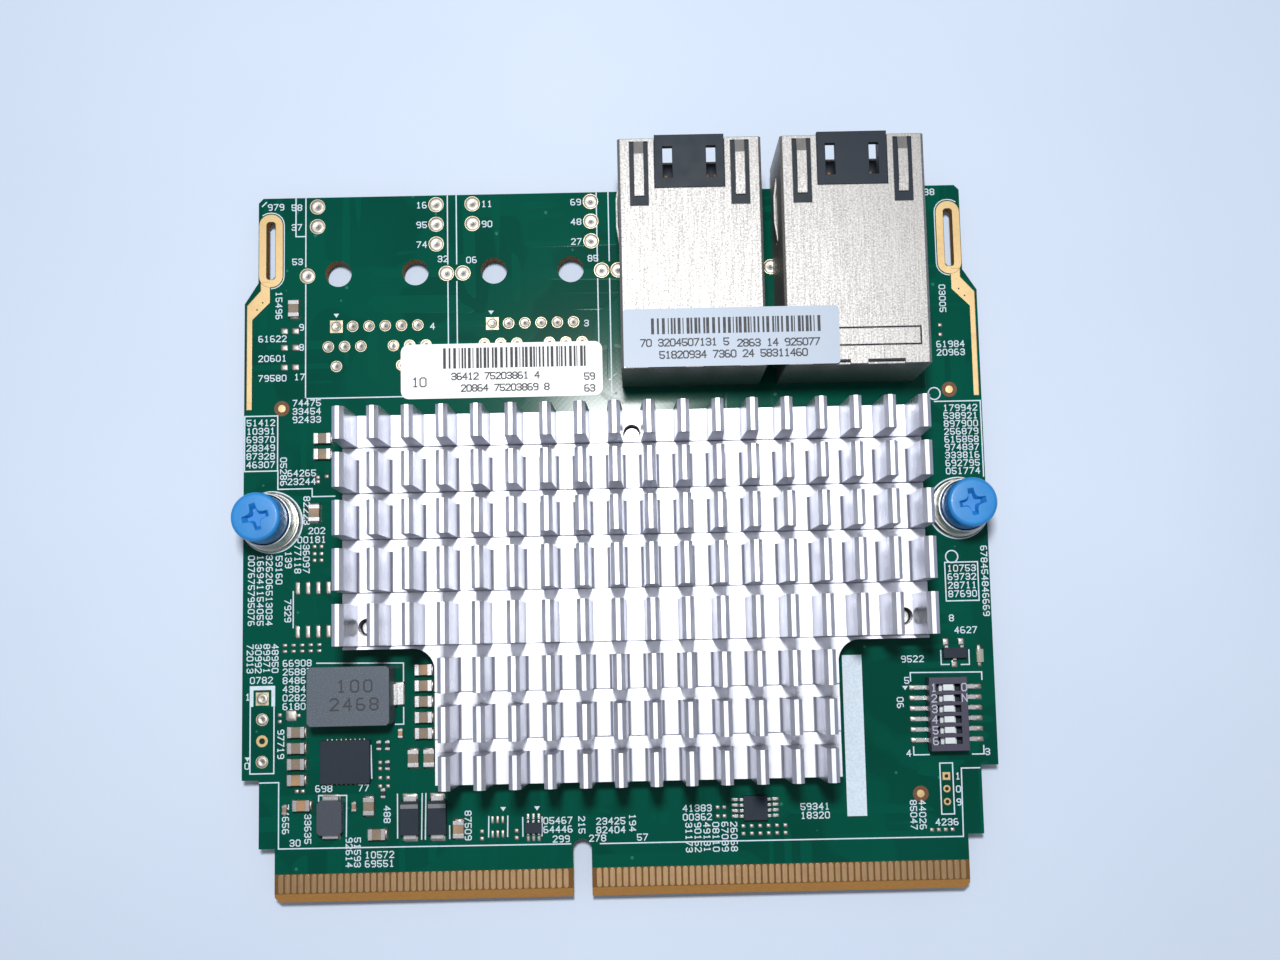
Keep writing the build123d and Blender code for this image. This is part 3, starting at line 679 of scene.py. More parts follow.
@dataclass(frozen=True)
class Moulding(Finish):
    """Moulded plastic, ferrite, ceramic or rubber.

    Attributes:
        fleck: the colour of the fine flecks.
        flecks: how strongly they show.
        grain: the size of the surface grain, in millimetres.
        depth: its depth.
        edge: the radius of the softened edges.
        coat: how much clear gloss lies over it.
        shine: how strongly its surface mirrors.
        batch: the colour of parts from another batch, in places some millimetres across.
        batch_size: how large those places are.
    """

    fleck: Colour = (0.1, 0.1, 0.1)
    flecks: float = 0.3
    grain: float = 0.12
    depth: float = 0.006
    edge: float = 0.1
    coat: float = 0.0
    shine: float = 0.5
    batch: Colour | None = None
    batch_size: float = 9.0

    def inputs(self, recipe: Recipe) -> Inputs:
        """Scatter the flecks by fine noise, vary the gloss by broad noise, and raise the grain.

        Args:
            recipe: the material under construction.

        Returns:
            What goes into the shader.
        """
        fine = recipe.noise(self.grain, 3.0)
        broad = recipe.noise(self.grain * 18, 3.0)
        share = recipe.ramp(fine, 0.5, 0.75, 0.0, self.flecks)
        patches = recipe.ramp(broad, 0.3, 0.7)
        uneven = recipe.mix(patches, scaled(self.colour, 0.9), scaled(self.colour, 1.08))
        glossy, dull = self.roughness * 0.88, min(1.0, self.roughness * 1.12)
        if self.batch:
            other = recipe.ramp(recipe.noise(self.batch_size, 0.0), 0.46, 0.54)
            uneven = recipe.mix(other, uneven, self.batch)
        return {
            "Base Color": recipe.mix(share, uneven, self.fleck),
            "Roughness": recipe.ramp(broad, 0.3, 0.7, glossy, dull),
            "Normal": recipe.bump(fine, self.depth, recipe.soft_edges(self.edge)),
            "Coat Weight": self.coat,
            "Specular IOR Level": self.shine,
        }


@dataclass(frozen=True)
class Ink(Finish):
    """A thin printed or coated layer, a little uneven in cover."""

    def inputs(self, recipe: Recipe) -> Inputs:
        """Vary the colour by fine noise, as thin ink does.

        Args:
            recipe: the material under construction.

        Returns:
            What goes into the shader.
        """
        cover = recipe.ramp(recipe.noise(0.25, 3.0), 0.35, 0.65)
        return {
            "Base Color": recipe.mix(cover, scaled(self.colour, 0.86), self.colour),
            "Roughness": recipe.ramp(cover, 0.0, 1.0, self.roughness, self.roughness * 0.85),
            "Normal": recipe.bump(cover, 0.004),
        }


@dataclass(frozen=True)
class Lens(Finish):
    """A clear moulded lens, slightly milky."""

    def inputs(self, recipe: Recipe) -> Inputs:
        """Let light through, with faint streaks in the moulding.

        Args:
            recipe: the material under construction.

        Returns:
            What goes into the shader.
        """
        streak = recipe.noise(0.6, 2.0, (1.0, 0.2, 1.0))
        return {
            "Base Color": recipe.mix(streak, scaled(self.colour, 0.92), self.colour),
            "Roughness": self.roughness,
            "Transmission Weight": 0.55,
            "IOR": 1.5,
            "Normal": recipe.bump(streak, 0.01, recipe.soft_edges(0.08)),
        }


@dataclass(frozen=True)
class Laminate(Finish):
    """The board: green mask over copper and glass weave, bare at the card edge and the cut sides.

    Attributes:
        copper: the green where the mask lies over copper.
        via: the green over a filled hole.
        resin: the bare board beside the contacts.
        cut: the bare board at the bevel and the cut sides.
        bare_end: how far in from the card edge the mask is left off.
        bevel_end: where the bevel ends.
        blur: how softly these two end.
    """

    copper: Colour = srgb(0, 88, 70)
    via: Colour = srgb(60, 140, 118)
    resin: Colour = srgb(122, 88, 48)
    cut: Colour = srgb(168, 122, 68)
    bare_end: float = 3.38
    bevel_end: float = 1.05
    blur: float = 0.05

    def relief(self, recipe: Recipe) -> Socket:
        """Copper under the mask: broad pours, and tracks that run along in one region, across in the next.

        Args:
            recipe: the material under construction.

        Returns:
            0 on bare board, 1 on a track.
        """
        pours = recipe.ramp(recipe.noise(9.0, 1.0), 0.47, 0.5)
        lanes = recipe.noise(1.1, 0.0, (1.0, 0.03, 1.0))
        rungs = recipe.noise(1.1, 0.0, (0.03, 1.0, 1.0))
        region = recipe.ramp(recipe.noise(14.0, 0.0), 0.45, 0.55)
        elsewhere = recipe.math("SUBTRACT", 1.0, region)
        routed = recipe.larger(recipe.times(lanes, region), recipe.times(rungs, elsewhere))
        tracks = recipe.ramp(routed, 0.56, 0.6)
        return recipe.larger(recipe.times(pours, 0.7), tracks)

    def inputs(self, recipe: Recipe) -> Inputs:
        """Lay traces, vias and weave into the mask, then leave the card edge and the sides bare.

        Args:
            recipe: the material under construction.

        Returns:
            What goes into the shader.
        """
        across, along = recipe.axis("X"), recipe.axis("Y")
        weave = recipe.times(*[recipe.math("SINE", recipe.times(way, 9.0)) for way in (across, along)])
        relief = self.relief(recipe)
        vias = recipe.ramp(recipe.cells(3.1), 0.075, 0.06)
        cloud = recipe.ramp(recipe.noise(22.0, 2.0), 0.35, 0.65)
        ground = recipe.mix(cloud, scaled(self.colour, 0.86), scaled(self.colour, 1.08))
        green = recipe.mix(recipe.times(relief, 0.55), ground, self.copper)
        green = recipe.mix(recipe.times(vias, 0.5), green, self.via)
        upright = recipe.math("ABSOLUTE", recipe.axis("Z", recipe.add("NewGeometry", "Normal", {})))
        side = recipe.ramp(upright, 0.5, 0.4)
        bare = recipe.ramp(along, self.bare_end, self.bare_end - self.blur)
        bevel = recipe.ramp(along, self.bevel_end, self.bevel_end - self.blur)
        fibre = recipe.noise(0.5, 4.0, (1.0, 1.0, 6.0))
        wood = recipe.mix(fibre, scaled(self.cut, 0.8), scaled(self.cut, 1.15))
        body = recipe.mix(bare, green, recipe.mix(fibre, scaled(self.resin, 0.8), self.resin))
        body = recipe.mix(recipe.larger(side, bevel), body, wood)
        raw = recipe.larger(recipe.larger(side, bare), bevel)
        height = recipe.plus(recipe.times(weave, 0.04), recipe.plus(relief, vias))
        return {
            "Base Color": body,
            "Roughness": recipe.ramp(raw, 0.0, 1.0, self.roughness, 0.75),
            "Specular IOR Level": 0.1,
            "Normal": recipe.bump(height, 0.005),
        }


@dataclass(frozen=True)
class Paper(Finish):
    """White coated label paper."""

    def inputs(self, recipe: Recipe) -> Inputs:
        """Mottle the white a little and raise faint fibres.

        Args:
            recipe: the material under construction.

        Returns:
            What goes into the shader.
        """
        fibre = recipe.noise(0.3, 4.0, (1.0, 0.4, 1.0))
        return {
            "Base Color": recipe.mix(fibre, scaled(self.colour, 0.95), self.colour),
            "Roughness": self.roughness,
            "Normal": recipe.bump(fibre, 0.006),
        }


BOARD = Laminate("board_laminate", "solder_mask", srgb(0, 74, 60), 0.13)
GILT = Metal("gilt_contact", "contact_gold", srgb(172, 142, 108), 0.42, srgb(124, 96, 66), 1.2, 0.5,
             Grain.ALONG_Y)
GOLD_RING = Metal("gold_flash", "contact_gold", srgb(206, 180, 134), 0.46, srgb(182, 150, 104), 3.0, 0.4)
RIM = Metal("pad_rim", "contact_gold", srgb(206, 196, 168), 0.45, srgb(160, 146, 118), 0.6, 0.5)
ALUMINIUM = Metal("milled_aluminium", "aluminium", srgb(208, 210, 219), 0.5, srgb(186, 188, 200), 5.0, 0.3,
                  Grain.ALONG_Y, 0.1, 0.0015, 0.03, 0.6)
STEEL = Metal("plated_steel", "screw_steel", srgb(206, 206, 210), 0.28, srgb(150, 150, 154), 1.0, 0.4)
SHIELD = Metal("nickel_shield", "nickel_sheet", srgb(174, 173, 172), 0.49, srgb(126, 122, 116), 0.2, 0.6,
               Grain.ALONG_Y, 0.15, 0.004, 0.12)
TURNED = Metal("turned_nickel", "nickel_turned", srgb(226, 224, 220), 0.3, srgb(186, 182, 174), 1.5, 0.3,
               depth=0.0006)
# Dark metal for the inside of the screw holes: painted shade, much darker than the aluminium it stands in
# for.
PAINTED_BORE_SHADE = Metal("painted_bore_shade", "aluminium", srgb(64, 62, 70), 0.5, srgb(44, 42, 48), 0.5)
TIN = Metal("bright_tin", "solder_tin", srgb(206, 206, 208), 0.3, srgb(150, 146, 142), 0.6, 0.4, depth=0.006)
SOLDER = Metal("solder", "solder_tin", srgb(196, 192, 186), 0.46, srgb(140, 132, 122), 0.5, 0.6, depth=0.012)
BLACK = Moulding("black_moulding", "black_plastic", srgb(22, 35, 48), 0.5, srgb(46, 58, 72), shine=0.3)
EPOXY = Moulding("chip_epoxy", "chip_black", srgb(30, 41, 54), 0.55, srgb(58, 68, 82), 0.4, 0.08, shine=0.25)
BLUE = Moulding("knob_nylon", "knob_blue", srgb(36, 134, 208), 0.4, srgb(60, 154, 222), 0.25, 0.2, 0.008,
                0.12, 0.08)
PLUM = Moulding("switch_nylon", "switch_plum", srgb(56, 54, 76), 0.5, srgb(78, 76, 100), 0.35)
WHITE = Moulding("slider_nylon", "slider_white", srgb(218, 226, 230), 0.35, srgb(236, 240, 242), 0.3)
FERRITE = Moulding("ferrite", "ferrite_grey", srgb(76, 87, 99), 0.55, srgb(118, 128, 139), 0.6, 0.16, 0.015)
CHOKE = Moulding("dark_ferrite", "ferrite_grey", srgb(54, 60, 74), 0.5, srgb(86, 92, 106), 0.5, 0.14, 0.01)
CERAMIC = Moulding("ceramic", "ceramic_tan", srgb(172, 132, 94), 0.45, srgb(200, 166, 130), 0.4, 0.15, 0.006,
                   0.1, batch=srgb(128, 112, 96))
RUBBER = Moulding("pad_rubber", "pad_grey", srgb(150, 152, 156), 0.8, srgb(170, 172, 176), 0.4)
CLEAR = Lens("clear_lens", "lamp_lens", srgb(226, 232, 214), 0.18)
# The jack label's white paper, coloured darker and bluer than the board label: painted shade.
SHADED_LABEL_PAPER = Paper("label_paper_painted_shade", "label_white", srgb(176, 190, 208), 0.45)
PAPER = Paper("label_paper", "label_white", srgb(250, 251, 252), 0.42)
SILK = Ink("silk_ink", "label_white", srgb(218, 233, 247), 0.6)
MARK_INK = Ink("switch_ink", "label_white", srgb(186, 188, 204), 0.6)
DARK_INK = Ink("dark_ink", "chip_black", srgb(44, 46, 54), 0.6)
GREY_INK = Ink("grey_ink", "pad_grey", srgb(120, 122, 128), 0.6)
BARE = Ink("bare_laminate", "contact_gold", srgb(112, 64, 28), 0.6)
# Near-black discs for open holes and vias: painted shade inside the holes.
HOLE_SHADE = Ink("painted_hole_shade", "chip_black", srgb(20, 18, 18), 0.8)


def dress(finish: Finish, *nodes: str) -> None:
    """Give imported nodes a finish, through their own material slots.

    Args:
        finish: the finish.
        nodes: the nodes' names.
    """
    for node in nodes:
        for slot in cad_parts[node].material_slots:
            slot.material = finish.material()


def add_piece(name: str, shape: Shape, finish: Finish, body: str = "card", crease: float = 35.0,
              stands_for: Sequence[str] = ()) -> bpy.types.Object:
    """Make an object of a shape, let it ride on a body, and report it.

    Args:
        name: the piece's name.
        shape: its points and faces, in millimetres.
        finish: its finish.
        body: the body that carries it.
        crease: edges sharper than this many degrees stay sharp.
        stands_for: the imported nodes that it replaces.

    Returns:
        The new object.
    """
    mesh = bpy.data.meshes.new(name)
    sizes = np.concatenate([np.full(len(group), group.shape[1]) for group in shape.faces])
    corners = np.concatenate([group.ravel() for group in shape.faces]).astype(np.int32)
    mesh.vertices.add(len(shape.points))
    mesh.vertices.foreach_set("co", (shape.points * MM).astype(np.float32).ravel())
    mesh.loops.add(len(corners))
    mesh.loops.foreach_set("vertex_index", corners)
    mesh.polygons.add(len(sizes))
    mesh.polygons.foreach_set("loop_start", (np.cumsum(sizes) - sizes).astype(np.int32))
    mesh.polygons.foreach_set("use_smooth", np.ones(len(sizes), bool))
    mesh.update(calc_edges=True)
    mesh.validate()
    mesh.set_sharp_from_angle(angle=math.radians(crease))
    mesh.materials.append(finish.material())
    piece = bpy.data.objects.new(name, mesh)
    bpy.context.scene.collection.objects.link(piece)
    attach(piece, body)
    if stands_for:
        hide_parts(*stands_for)
    LOG.info("%s: %d faces", name, len(sizes))
    return piece


# Sub-assemblies

@dataclass
class Heatsink:
    """The cross-cut aluminium comb, milled to a T, with its fins' true section."""

    middle_x: float = 2.24
    front: float = 13.9
    back: float = 58.4
    wing_front: float = 30.1
    wing_corner: float = 2.6
    base: float = 2.4
    base_low: float = BOARD_TOP + 2.0
    fin_count: int = 18
    stem_fin_count: int = 12
    pitch: float = 4.03
    height: float = 8.2
    foot: float = 1.9
    tip: float = 1.4
    tip_chamfer: float = 0.46
    root_radius: float = 0.35
    drilled_root_radius: float = 0.01
    cut_width: float = 1.55
    cut_depth: float = 0.12
    burr_width: float = 0.12
    burr_depth: float = 0.5
    cut_offsets: tuple[float, ...] = (-17.6, -12.0, -6.4, 0.0, 6.4, 12.0, 17.6)
    hole_radius: float = 1.05
    hole_depth: float = 2.3
    hole_valley: int = 8
    back_hole_inset: float = 2.8
    side_hole_inset: float = 2.65
    sleeve_gap: float = 0.005
    sleeve_wall: float = 0.045
    sleeve_sunk: float = 0.02
    screw_radius: float = 0.97
    screw_sunk: float = 2.0
    screw_ease: float = 0.12
    head_across: float = 4.0
    head_height: float = 1.4
    head_ease: float = 0.25
    head_face: float = 0.98
    pad: float = 5.0
    flank_slope: float = 0.9

    @property
    def top(self) -> float:
        """The height of the base's top face."""
        return self.base_low + self.base

    @property
    def cut_floor(self) -> float:
        """The height of the saw cuts' floor."""
        return self.top - self.cut_depth

    @property
    def side_hole_y(self) -> float:
        """Where the two side holes lie along Y."""
        return self.wing_front + self.side_hole_inset

    @property
    def back_hole_y(self) -> float:
        """Where the back hole lies along Y."""
        return self.back - self.back_hole_inset

    def hole_places(self) -> list[Place]:
        """Where the three screws come up: in the middle at the back, and far out on both wings."""
        columns = [self.middle_x + side * self.hole_valley * self.pitch for side in (-1, 1)]
        return [(self.middle_x, self.back_hole_y), *crossed(columns, [self.side_hole_y])]

    def rows(self) -> list[Place]:
        """Where the rows of fins lie along Y.

        Returns:
            The start and the end of each row, from the front to the back.
        """
        cuts = [(self.front + self.back) / 2 + offset for offset in self.cut_offsets]
        starts = [self.front, *[y + self.cut_width / 2 for y in cuts]]
        ends = [*[y - self.cut_width / 2 for y in cuts], self.back]
        return list(zip(starts, ends))

    def count_at(self, y: float) -> int:
        """How many fins stand side by side at a place along Y."""
        return self.fin_count if y > self.wing_front else self.stem_fin_count

    def reach(self, count: int) -> float:
        """How far a row's base reaches from the middle.

        Args:
            count: how many fins the row has.

        Returns:
            The distance to the outer fins' feet, or half a valley more on the stem.
        """
        if count == self.stem_fin_count:
            return count / 2 * self.pitch
        return (count - 1) / 2 * self.pitch + self.foot / 2

    def fin(self, root: float) -> np.ndarray:
        """The section of one fin, from its left root to its right: fillet, flank, chamfer and back.

        Args:
            root: the fillet's radius.

        Returns:
            Rows of x from the fin's middle and height from the base's top.
        """
        turn = np.linspace(0, QUARTER, 5)
        left = np.stack([-self.foot / 2 - root * (1 - np.sin(turn)), root * (1 - np.cos(turn))], axis=1)
        edge = -self.tip / 2
        crown = [[edge, self.height - self.tip_chamfer], [edge + self.tip_chamfer, self.height]]
        left = np.concatenate([left, crown])
        return np.concatenate([left, left[::-1] * (-1, 1)])

    def comb(self, count: int, root: float) -> np.ndarray:
        """The section of a row: its fins side by side on the base.

        Args:
            count: how many fins the row has.
            root: the radius of their fillets.

        Returns:
            Rows of x from the middle and height from the base's top.
        """
        centres = (np.arange(count) - (count - 1) / 2) * self.pitch
        half = self.reach(count)
        fins = (centres[:, None, None] * (1, 0) + self.fin(root)[None]).reshape(-1, 2)
        fins[:, 0] = np.clip(fins[:, 0], -half, half)
        rim = np.array([[half, 0.0], [half, -self.base], [-half, -self.base], [-half, 0.0]])
        ledge = fins[-1, 0] < half
        return np.concatenate([fins, rim if ledge else rim[1:3]])

    def row(self, front: float, back: float, holes: dict[int, float]) -> list[Shape]:
        """One row of fins between two cuts, with screw holes in some valleys.

        Args:
            front, back: where the row starts and ends.
            holes: for each drilled valley, counted from the left, the hole's place along Y.

        Returns:
            The row, then a drilled patch of floor for each hole.
        """
        count = self.count_at(front)
        root = self.drilled_root_radius if holes else self.root_radius
        shape = prism(self.comb(count, root), front, back)
        shape = Shape(shape.points[:, [0, 2, 1]] + (self.middle_x, 0, self.top), shape.faces).outward()
        points_of_a_fin = len(self.fin(root))
        drilled = [(valley + 1) * points_of_a_fin - 1 for valley in holes]
        shape.faces[0] = np.delete(shape.faces[0], drilled, axis=0)
        half = (self.pitch - self.foot) / 2 - root
        first = self.middle_x - (count - 2) / 2 * self.pitch
        patches = [self.drilled_floor(first + valley * self.pitch, y, half, front, back)
                   for valley, y in holes.items()]
        return [shape, *patches]

    def drilled_floor(self, x: float, y: float, half: float, front: float, back: float) -> Shape:
        """A rectangle of valley floor with a round blind hole: rings from its rim to the hole's floor.

        Args:
            x, y: the hole's place.
            half: half the valley's width.
            front, back: where the valley starts and ends.

        Returns:
            The floor, the hole's wall and its bottom.
        """
        line = np.linspace(-1, 1, 13)[:-1]
        ones = np.ones_like(line)
        sides = ((line, -ones), (ones, line), (-line, ones), (-ones, -line))
        across, along = np.concatenate([np.stack(side) for side in sides], axis=1)
        rim = np.stack([x + across * half, y + along * np.where(along > 0, back - y, y - front)], axis=1)
        angle = np.arctan2(rim[:, 1] - y, rim[:, 0] - x)
        bore = np.stack([np.cos(angle), np.sin(angle)], axis=1) * self.hole_radius + (x, y)
        rings = stacked([(rim, self.top), (bore, self.top), (bore, self.top - self.hole_depth)])
        bottom = np.arange(len(rim))[None] + 2 * len(rim)
        return Shape(rings.reshape(-1, 3), [grid_faces(len(rings), len(rim)), bottom])

    def fins(self) -> list[Shape]:
        """Stand the rows of fins, drilled where a screw comes up.

        Returns:
            The rows and their drilled floors.
        """
        middle = self.fin_count // 2 - 1
        side_valleys = (middle - self.hole_valley, middle + self.hole_valley)
        shapes: list[Shape] = []
        for start, end in self.rows():
            holes = {valley: self.side_hole_y for valley in side_valleys if start < self.side_hole_y < end}
            if start < self.back_hole_y < end:
                holes[middle] = self.back_hole_y
            shapes += self.row(start, end, holes)
        return shapes

    def cuts(self) -> list[Shape]:
        """Fill the floors of the saw cuts, each with a groove that the saw left along its back.

        Returns:
            For each cut, its floor, in two widths where the T widens, and its groove.
        """
        rows = self.rows()
        shapes = []
        for (_, start), (end, _) in zip(rows, rows[1:]):
            groove = end - self.burr_width
            slabs = [(start, groove, self.cut_floor)]
            if start < self.wing_front < groove:
                slabs = [(start, self.wing_front, self.cut_floor), (self.wing_front, groove, self.cut_floor)]
            slabs.append((groove, end, self.cut_floor - self.burr_depth))
            for front, back, top in slabs:
                slab = block(2 * self.reach(self.count_at(back)), back - front, top - self.base_low)
                shapes.append(slab.moved(self.middle_x, (front + back) / 2, self.base_low))
        return shapes

    def inner_corners(self) -> list[Shape]:
        """Fill the T's two inner corners up to a quarter circle.

        Returns:
            The left and the right filling.
        """
        stem = self.reach(self.stem_fin_count)
        turn = np.linspace(0, QUARTER, 9)
        out = stem + self.wing_corner * (1 - np.cos(turn))
        along = self.wing_front - self.wing_corner * (1 - np.sin(turn))
        outline = np.concatenate([[[stem, self.wing_front]], np.stack([out, along], axis=1)])
        return [prism(outline * (side, 1) + (self.middle_x, 0), self.base_low, self.cut_floor)
                for side in (-1, 1)]

    def shade_sleeve(self) -> Shape:
        """Painted shade in a screw hole: a thin dark tube just inside its aluminium wall.

        Returns:
            The tube about the origin, at its height.
        """
        outer = self.hole_radius - self.sleeve_gap
        inner = outer - self.sleeve_wall
        low, high = self.top - self.hole_depth, self.top - self.sleeve_sunk
        return lathe([(outer, high), (outer, low), (inner, low), (inner, high)], 48, closed=True)

    def screw(self) -> Shape:
        """A screw from below: a hexagon head with eased corners, and a shank with an eased, sunken end.

        Returns:
            The screw about the origin, at its height.
        """
        face = self.head_across / 2
        corner = face / math.cos(math.pi / 6)
        low, ease = -self.head_height, self.screw_ease
        end = self.top - self.screw_sunk
        head = lathe([(face * self.head_face, low), (corner, low + self.head_ease), (corner, 0.0)], 6)
        radius = self.screw_radius
        return joined([head, lathe([(radius, 0.0), (radius, end - ease), (radius - ease, end)], 40)])

    def mark_flanks(self, comb: bpy.types.Object) -> None:
        """Mark the fins' flanks, which keep the smooth skin of the extruded bar.

        Args:
            comb: the comb's object.
        """
        faces = comb.data.polygons
        normals = np.empty(3 * len(faces), np.float32)
        faces.foreach_get("normal", normals)
        steep = np.abs(normals[::3]) > self.flank_slope
        comb.data.attributes.new("skin", "FLOAT", "FACE").data.foreach_set("value", steep.astype(np.float32))

    def build(self) -> None:
        """Join the comb's parts and its feet, line its holes with a dark tube of painted shade, add the
        screws, and dress the pad and the chip.
        """
        places = self.hole_places()
        feet = block(self.pad, self.pad, self.base_low - BOARD_TOP).tiled(places, BOARD_TOP)
        comb = joined([*self.fins(), *self.cuts(), *self.inner_corners(), feet])
        self.mark_flanks(add_piece("heatsink_comb", comb, ALUMINIUM, stands_for=["heatsink"]))
        # A dark tube inside each screw hole paints the shade on the hole's wall.
        add_piece("screw_hole_shade", self.shade_sleeve().tiled(places), PAINTED_BORE_SHADE)
        add_piece("hex_screws", self.screw().tiled(places), STEEL, stands_for=["heatsink_screws"])
        dress(RUBBER, "thermal_pad")
        dress(EPOXY, "controller_chip")


@dataclass
class Thumbscrew:
    """One captive screw: ferrule, spring, threaded screw and blue knob.

    The four profiles of the ferrule are rows of a radius and a height, counted from the flange's radius and
    the board, the collar's radius and the board, the collar's radius and its top, and the bore and its top.
    """

    side: str
    x: float
    turn: float
    y: float = 46.0
    knob_radius: float = 2.95
    knob_low: float = 3.3
    knob_high: float = 8.5
    knob_round: float = 0.5
    knob_ease: float = 0.12
    recess_reach: float = 1.58
    recess_waist: float = 0.72
    recess_arm: float = 0.34
    recess_depth: float = 1.1
    recess_floor: float = 0.68
    recess_lip: float = 0.06
    flange: float = 3.7
    flange_profile: tuple[Place, ...] = ((0.0, 0.0), (0.0, 0.62), (-0.12, 0.82), (-0.2, 0.9))
    collar: float = 3.3
    collar_foot: tuple[Place, ...] = ((0.06, 0.9), (0.0, 0.98))
    collar_rim: tuple[Place, ...] = ((0.0, -0.08), (-0.06, 0.0))
    bore: float = 3.05
    bore_rim: tuple[Place, ...] = ((0.05, 0.0), (0.0, -0.06))
    ferrule_height: float = 4.1
    neck: float = 1.15
    thread: float = 1.5
    thread_length: float = 1.2
    thread_pitch: float = 0.5
    thread_depth: float = 0.26
    thread_fade: float = 0.15
    wire: float = 0.3
    turns: float = 3.0
    press: float = 2.0

    def knob(self) -> Shape:
        """A turned cap with a cross recess.

        The recess's radius is the nearer of an arm's end and its side; the side is eased into the waist by
        the cube root of the sum of their cubes.

        Returns:
            The knob at its place.
        """
        segments = 192
        rim = circle(1.0, segments)
        angle = np.linspace(0, FULL_TURN, segments, endpoint=False)
        bearing = (angle - math.radians(self.turn) + QUARTER / 2) % QUARTER - QUARTER / 2
        side = self.recess_arm / np.maximum(np.sin(np.abs(bearing)), 0.01)
        cross = np.minimum(self.recess_reach / np.cos(bearing), np.cbrt(side ** 3 + self.recess_waist ** 3))
        bend = np.linspace(0, QUARTER, 7)
        edge = self.knob_radius - self.knob_round * (1 - np.cos(bend))
        rise = self.knob_high - self.knob_round * (1 - np.sin(bend))
        foot, top, lip = self.knob_low, self.knob_high, self.recess_lip
        wall = [(self.knob_radius - self.knob_ease, foot), (self.knob_radius, foot + self.knob_ease)]
        rings = [(radius * rim, height) for radius, height in (*wall, *zip(edge, rise))]
        recess = [(cross + lip, top), (cross, top - lip),
                  (cross * self.recess_floor, top - self.recess_depth)]
        rings += [(radius[:, None] * rim, height) for radius, height in recess]
        return skin(stacked(rings)).moved(self.x, self.y, BOARD_TOP)

    def screw(self) -> Shape:
        """A neck on a threaded end: the radius dips with height and with the turn, so the dip is a helix.

        Returns:
            The screw at its place.
        """
        segments, rows = 48, 49
        angle = np.linspace(0, FULL_TURN, segments, endpoint=False)[None]
        height = np.linspace(-self.thread_length, 0, rows)[:, None]
        phase = (height / self.thread_pitch - angle / FULL_TURN) % 1
        dip = self.thread_depth * np.abs(2 * phase - 1)
        fade = np.clip(np.minimum(height + self.thread_length, -height) / self.thread_fade, 0, 1)
        radius = self.thread - self.thread_depth * (1 - fade) - dip * fade
        radius = np.concatenate([radius, np.full((2, segments), self.neck)])
        ends = np.array([[0.0], [BOARD_TOP + self.knob_low]])
        height = np.repeat(np.concatenate([height, ends]), segments, axis=1)
        points = np.stack([radius * np.cos(angle), radius * np.sin(angle), height], axis=-1)
        return skin(points).moved(self.x, self.y)

    def spring(self) -> Shape:
        """A round wire carried along a helix: one angle round the axis, one round the wire.

        Returns:
            The spring at its place.
        """
        steps, sides = 145, 10
        half = self.wire / 2
        along = np.linspace(0, 1, steps)[:, None]
        swing = along * self.turns * FULL_TURN
        around = np.linspace(0, FULL_TURN, sides, endpoint=False)[None]
        reach = self.bore - self.wire - half + half * np.cos(around)
        height = BOARD_TOP + half + (self.knob_low - self.wire) * along + half * np.sin(around)
        points = np.stack([reach * np.cos(swing), reach * np.sin(swing), height], axis=-1)
        return skin(points).moved(self.x, self.y)

    def ferrule(self) -> Shape:
        """A turned ring: a broad flange with an eased step, then a thin collar.

        Returns:
            The ferrule at its place.
        """
        top = self.ferrule_height
        parts = ((self.flange, 0.0, self.flange_profile), (self.collar, 0.0, self.collar_foot),
                 (self.collar, top, self.collar_rim), (self.bore, top, self.bore_rim))
        profile = [(radius + out, height + up) for radius, height, rows in parts for out, up in rows]
        return lathe([(self.bore, 0.0), *profile], 96, closed=True).moved(self.x, self.y, BOARD_TOP)

    def build(self) -> Shape:
        """Add the knob, screw and spring.

        Returns:
            The ferrule, which shares one piece with the other side's.
        """
        side = self.side
        body = f"{side}_thumbscrew"
        add_piece(f"{side}_knob_cap", self.knob(), BLUE, body, stands_for=[f"{side}_knob"])
        add_piece(f"{side}_threaded_screw", self.screw(), STEEL, body, stands_for=[f"{side}_screw"])
        spring = add_piece(f"{side}_coil_spring", self.spring(), STEEL, stands_for=[f"{side}_spring"])
        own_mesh(spring)
        return self.ferrule()


@dataclass(frozen=True)
class Numbers:
    """A block of plain printed numbers, one under another.

    Attributes:
        x, y: where the first number starts.
        rows: how many numbers the block has.
        digits: how many digits each has.
        step: how far the next row lies below, or the next downward column to the right.
        down: whether the numbers read downwards.
    """

    x: float
    y: float
    rows: int = 1
    digits: int = 5
    step: float = 1.05
    down: bool = False


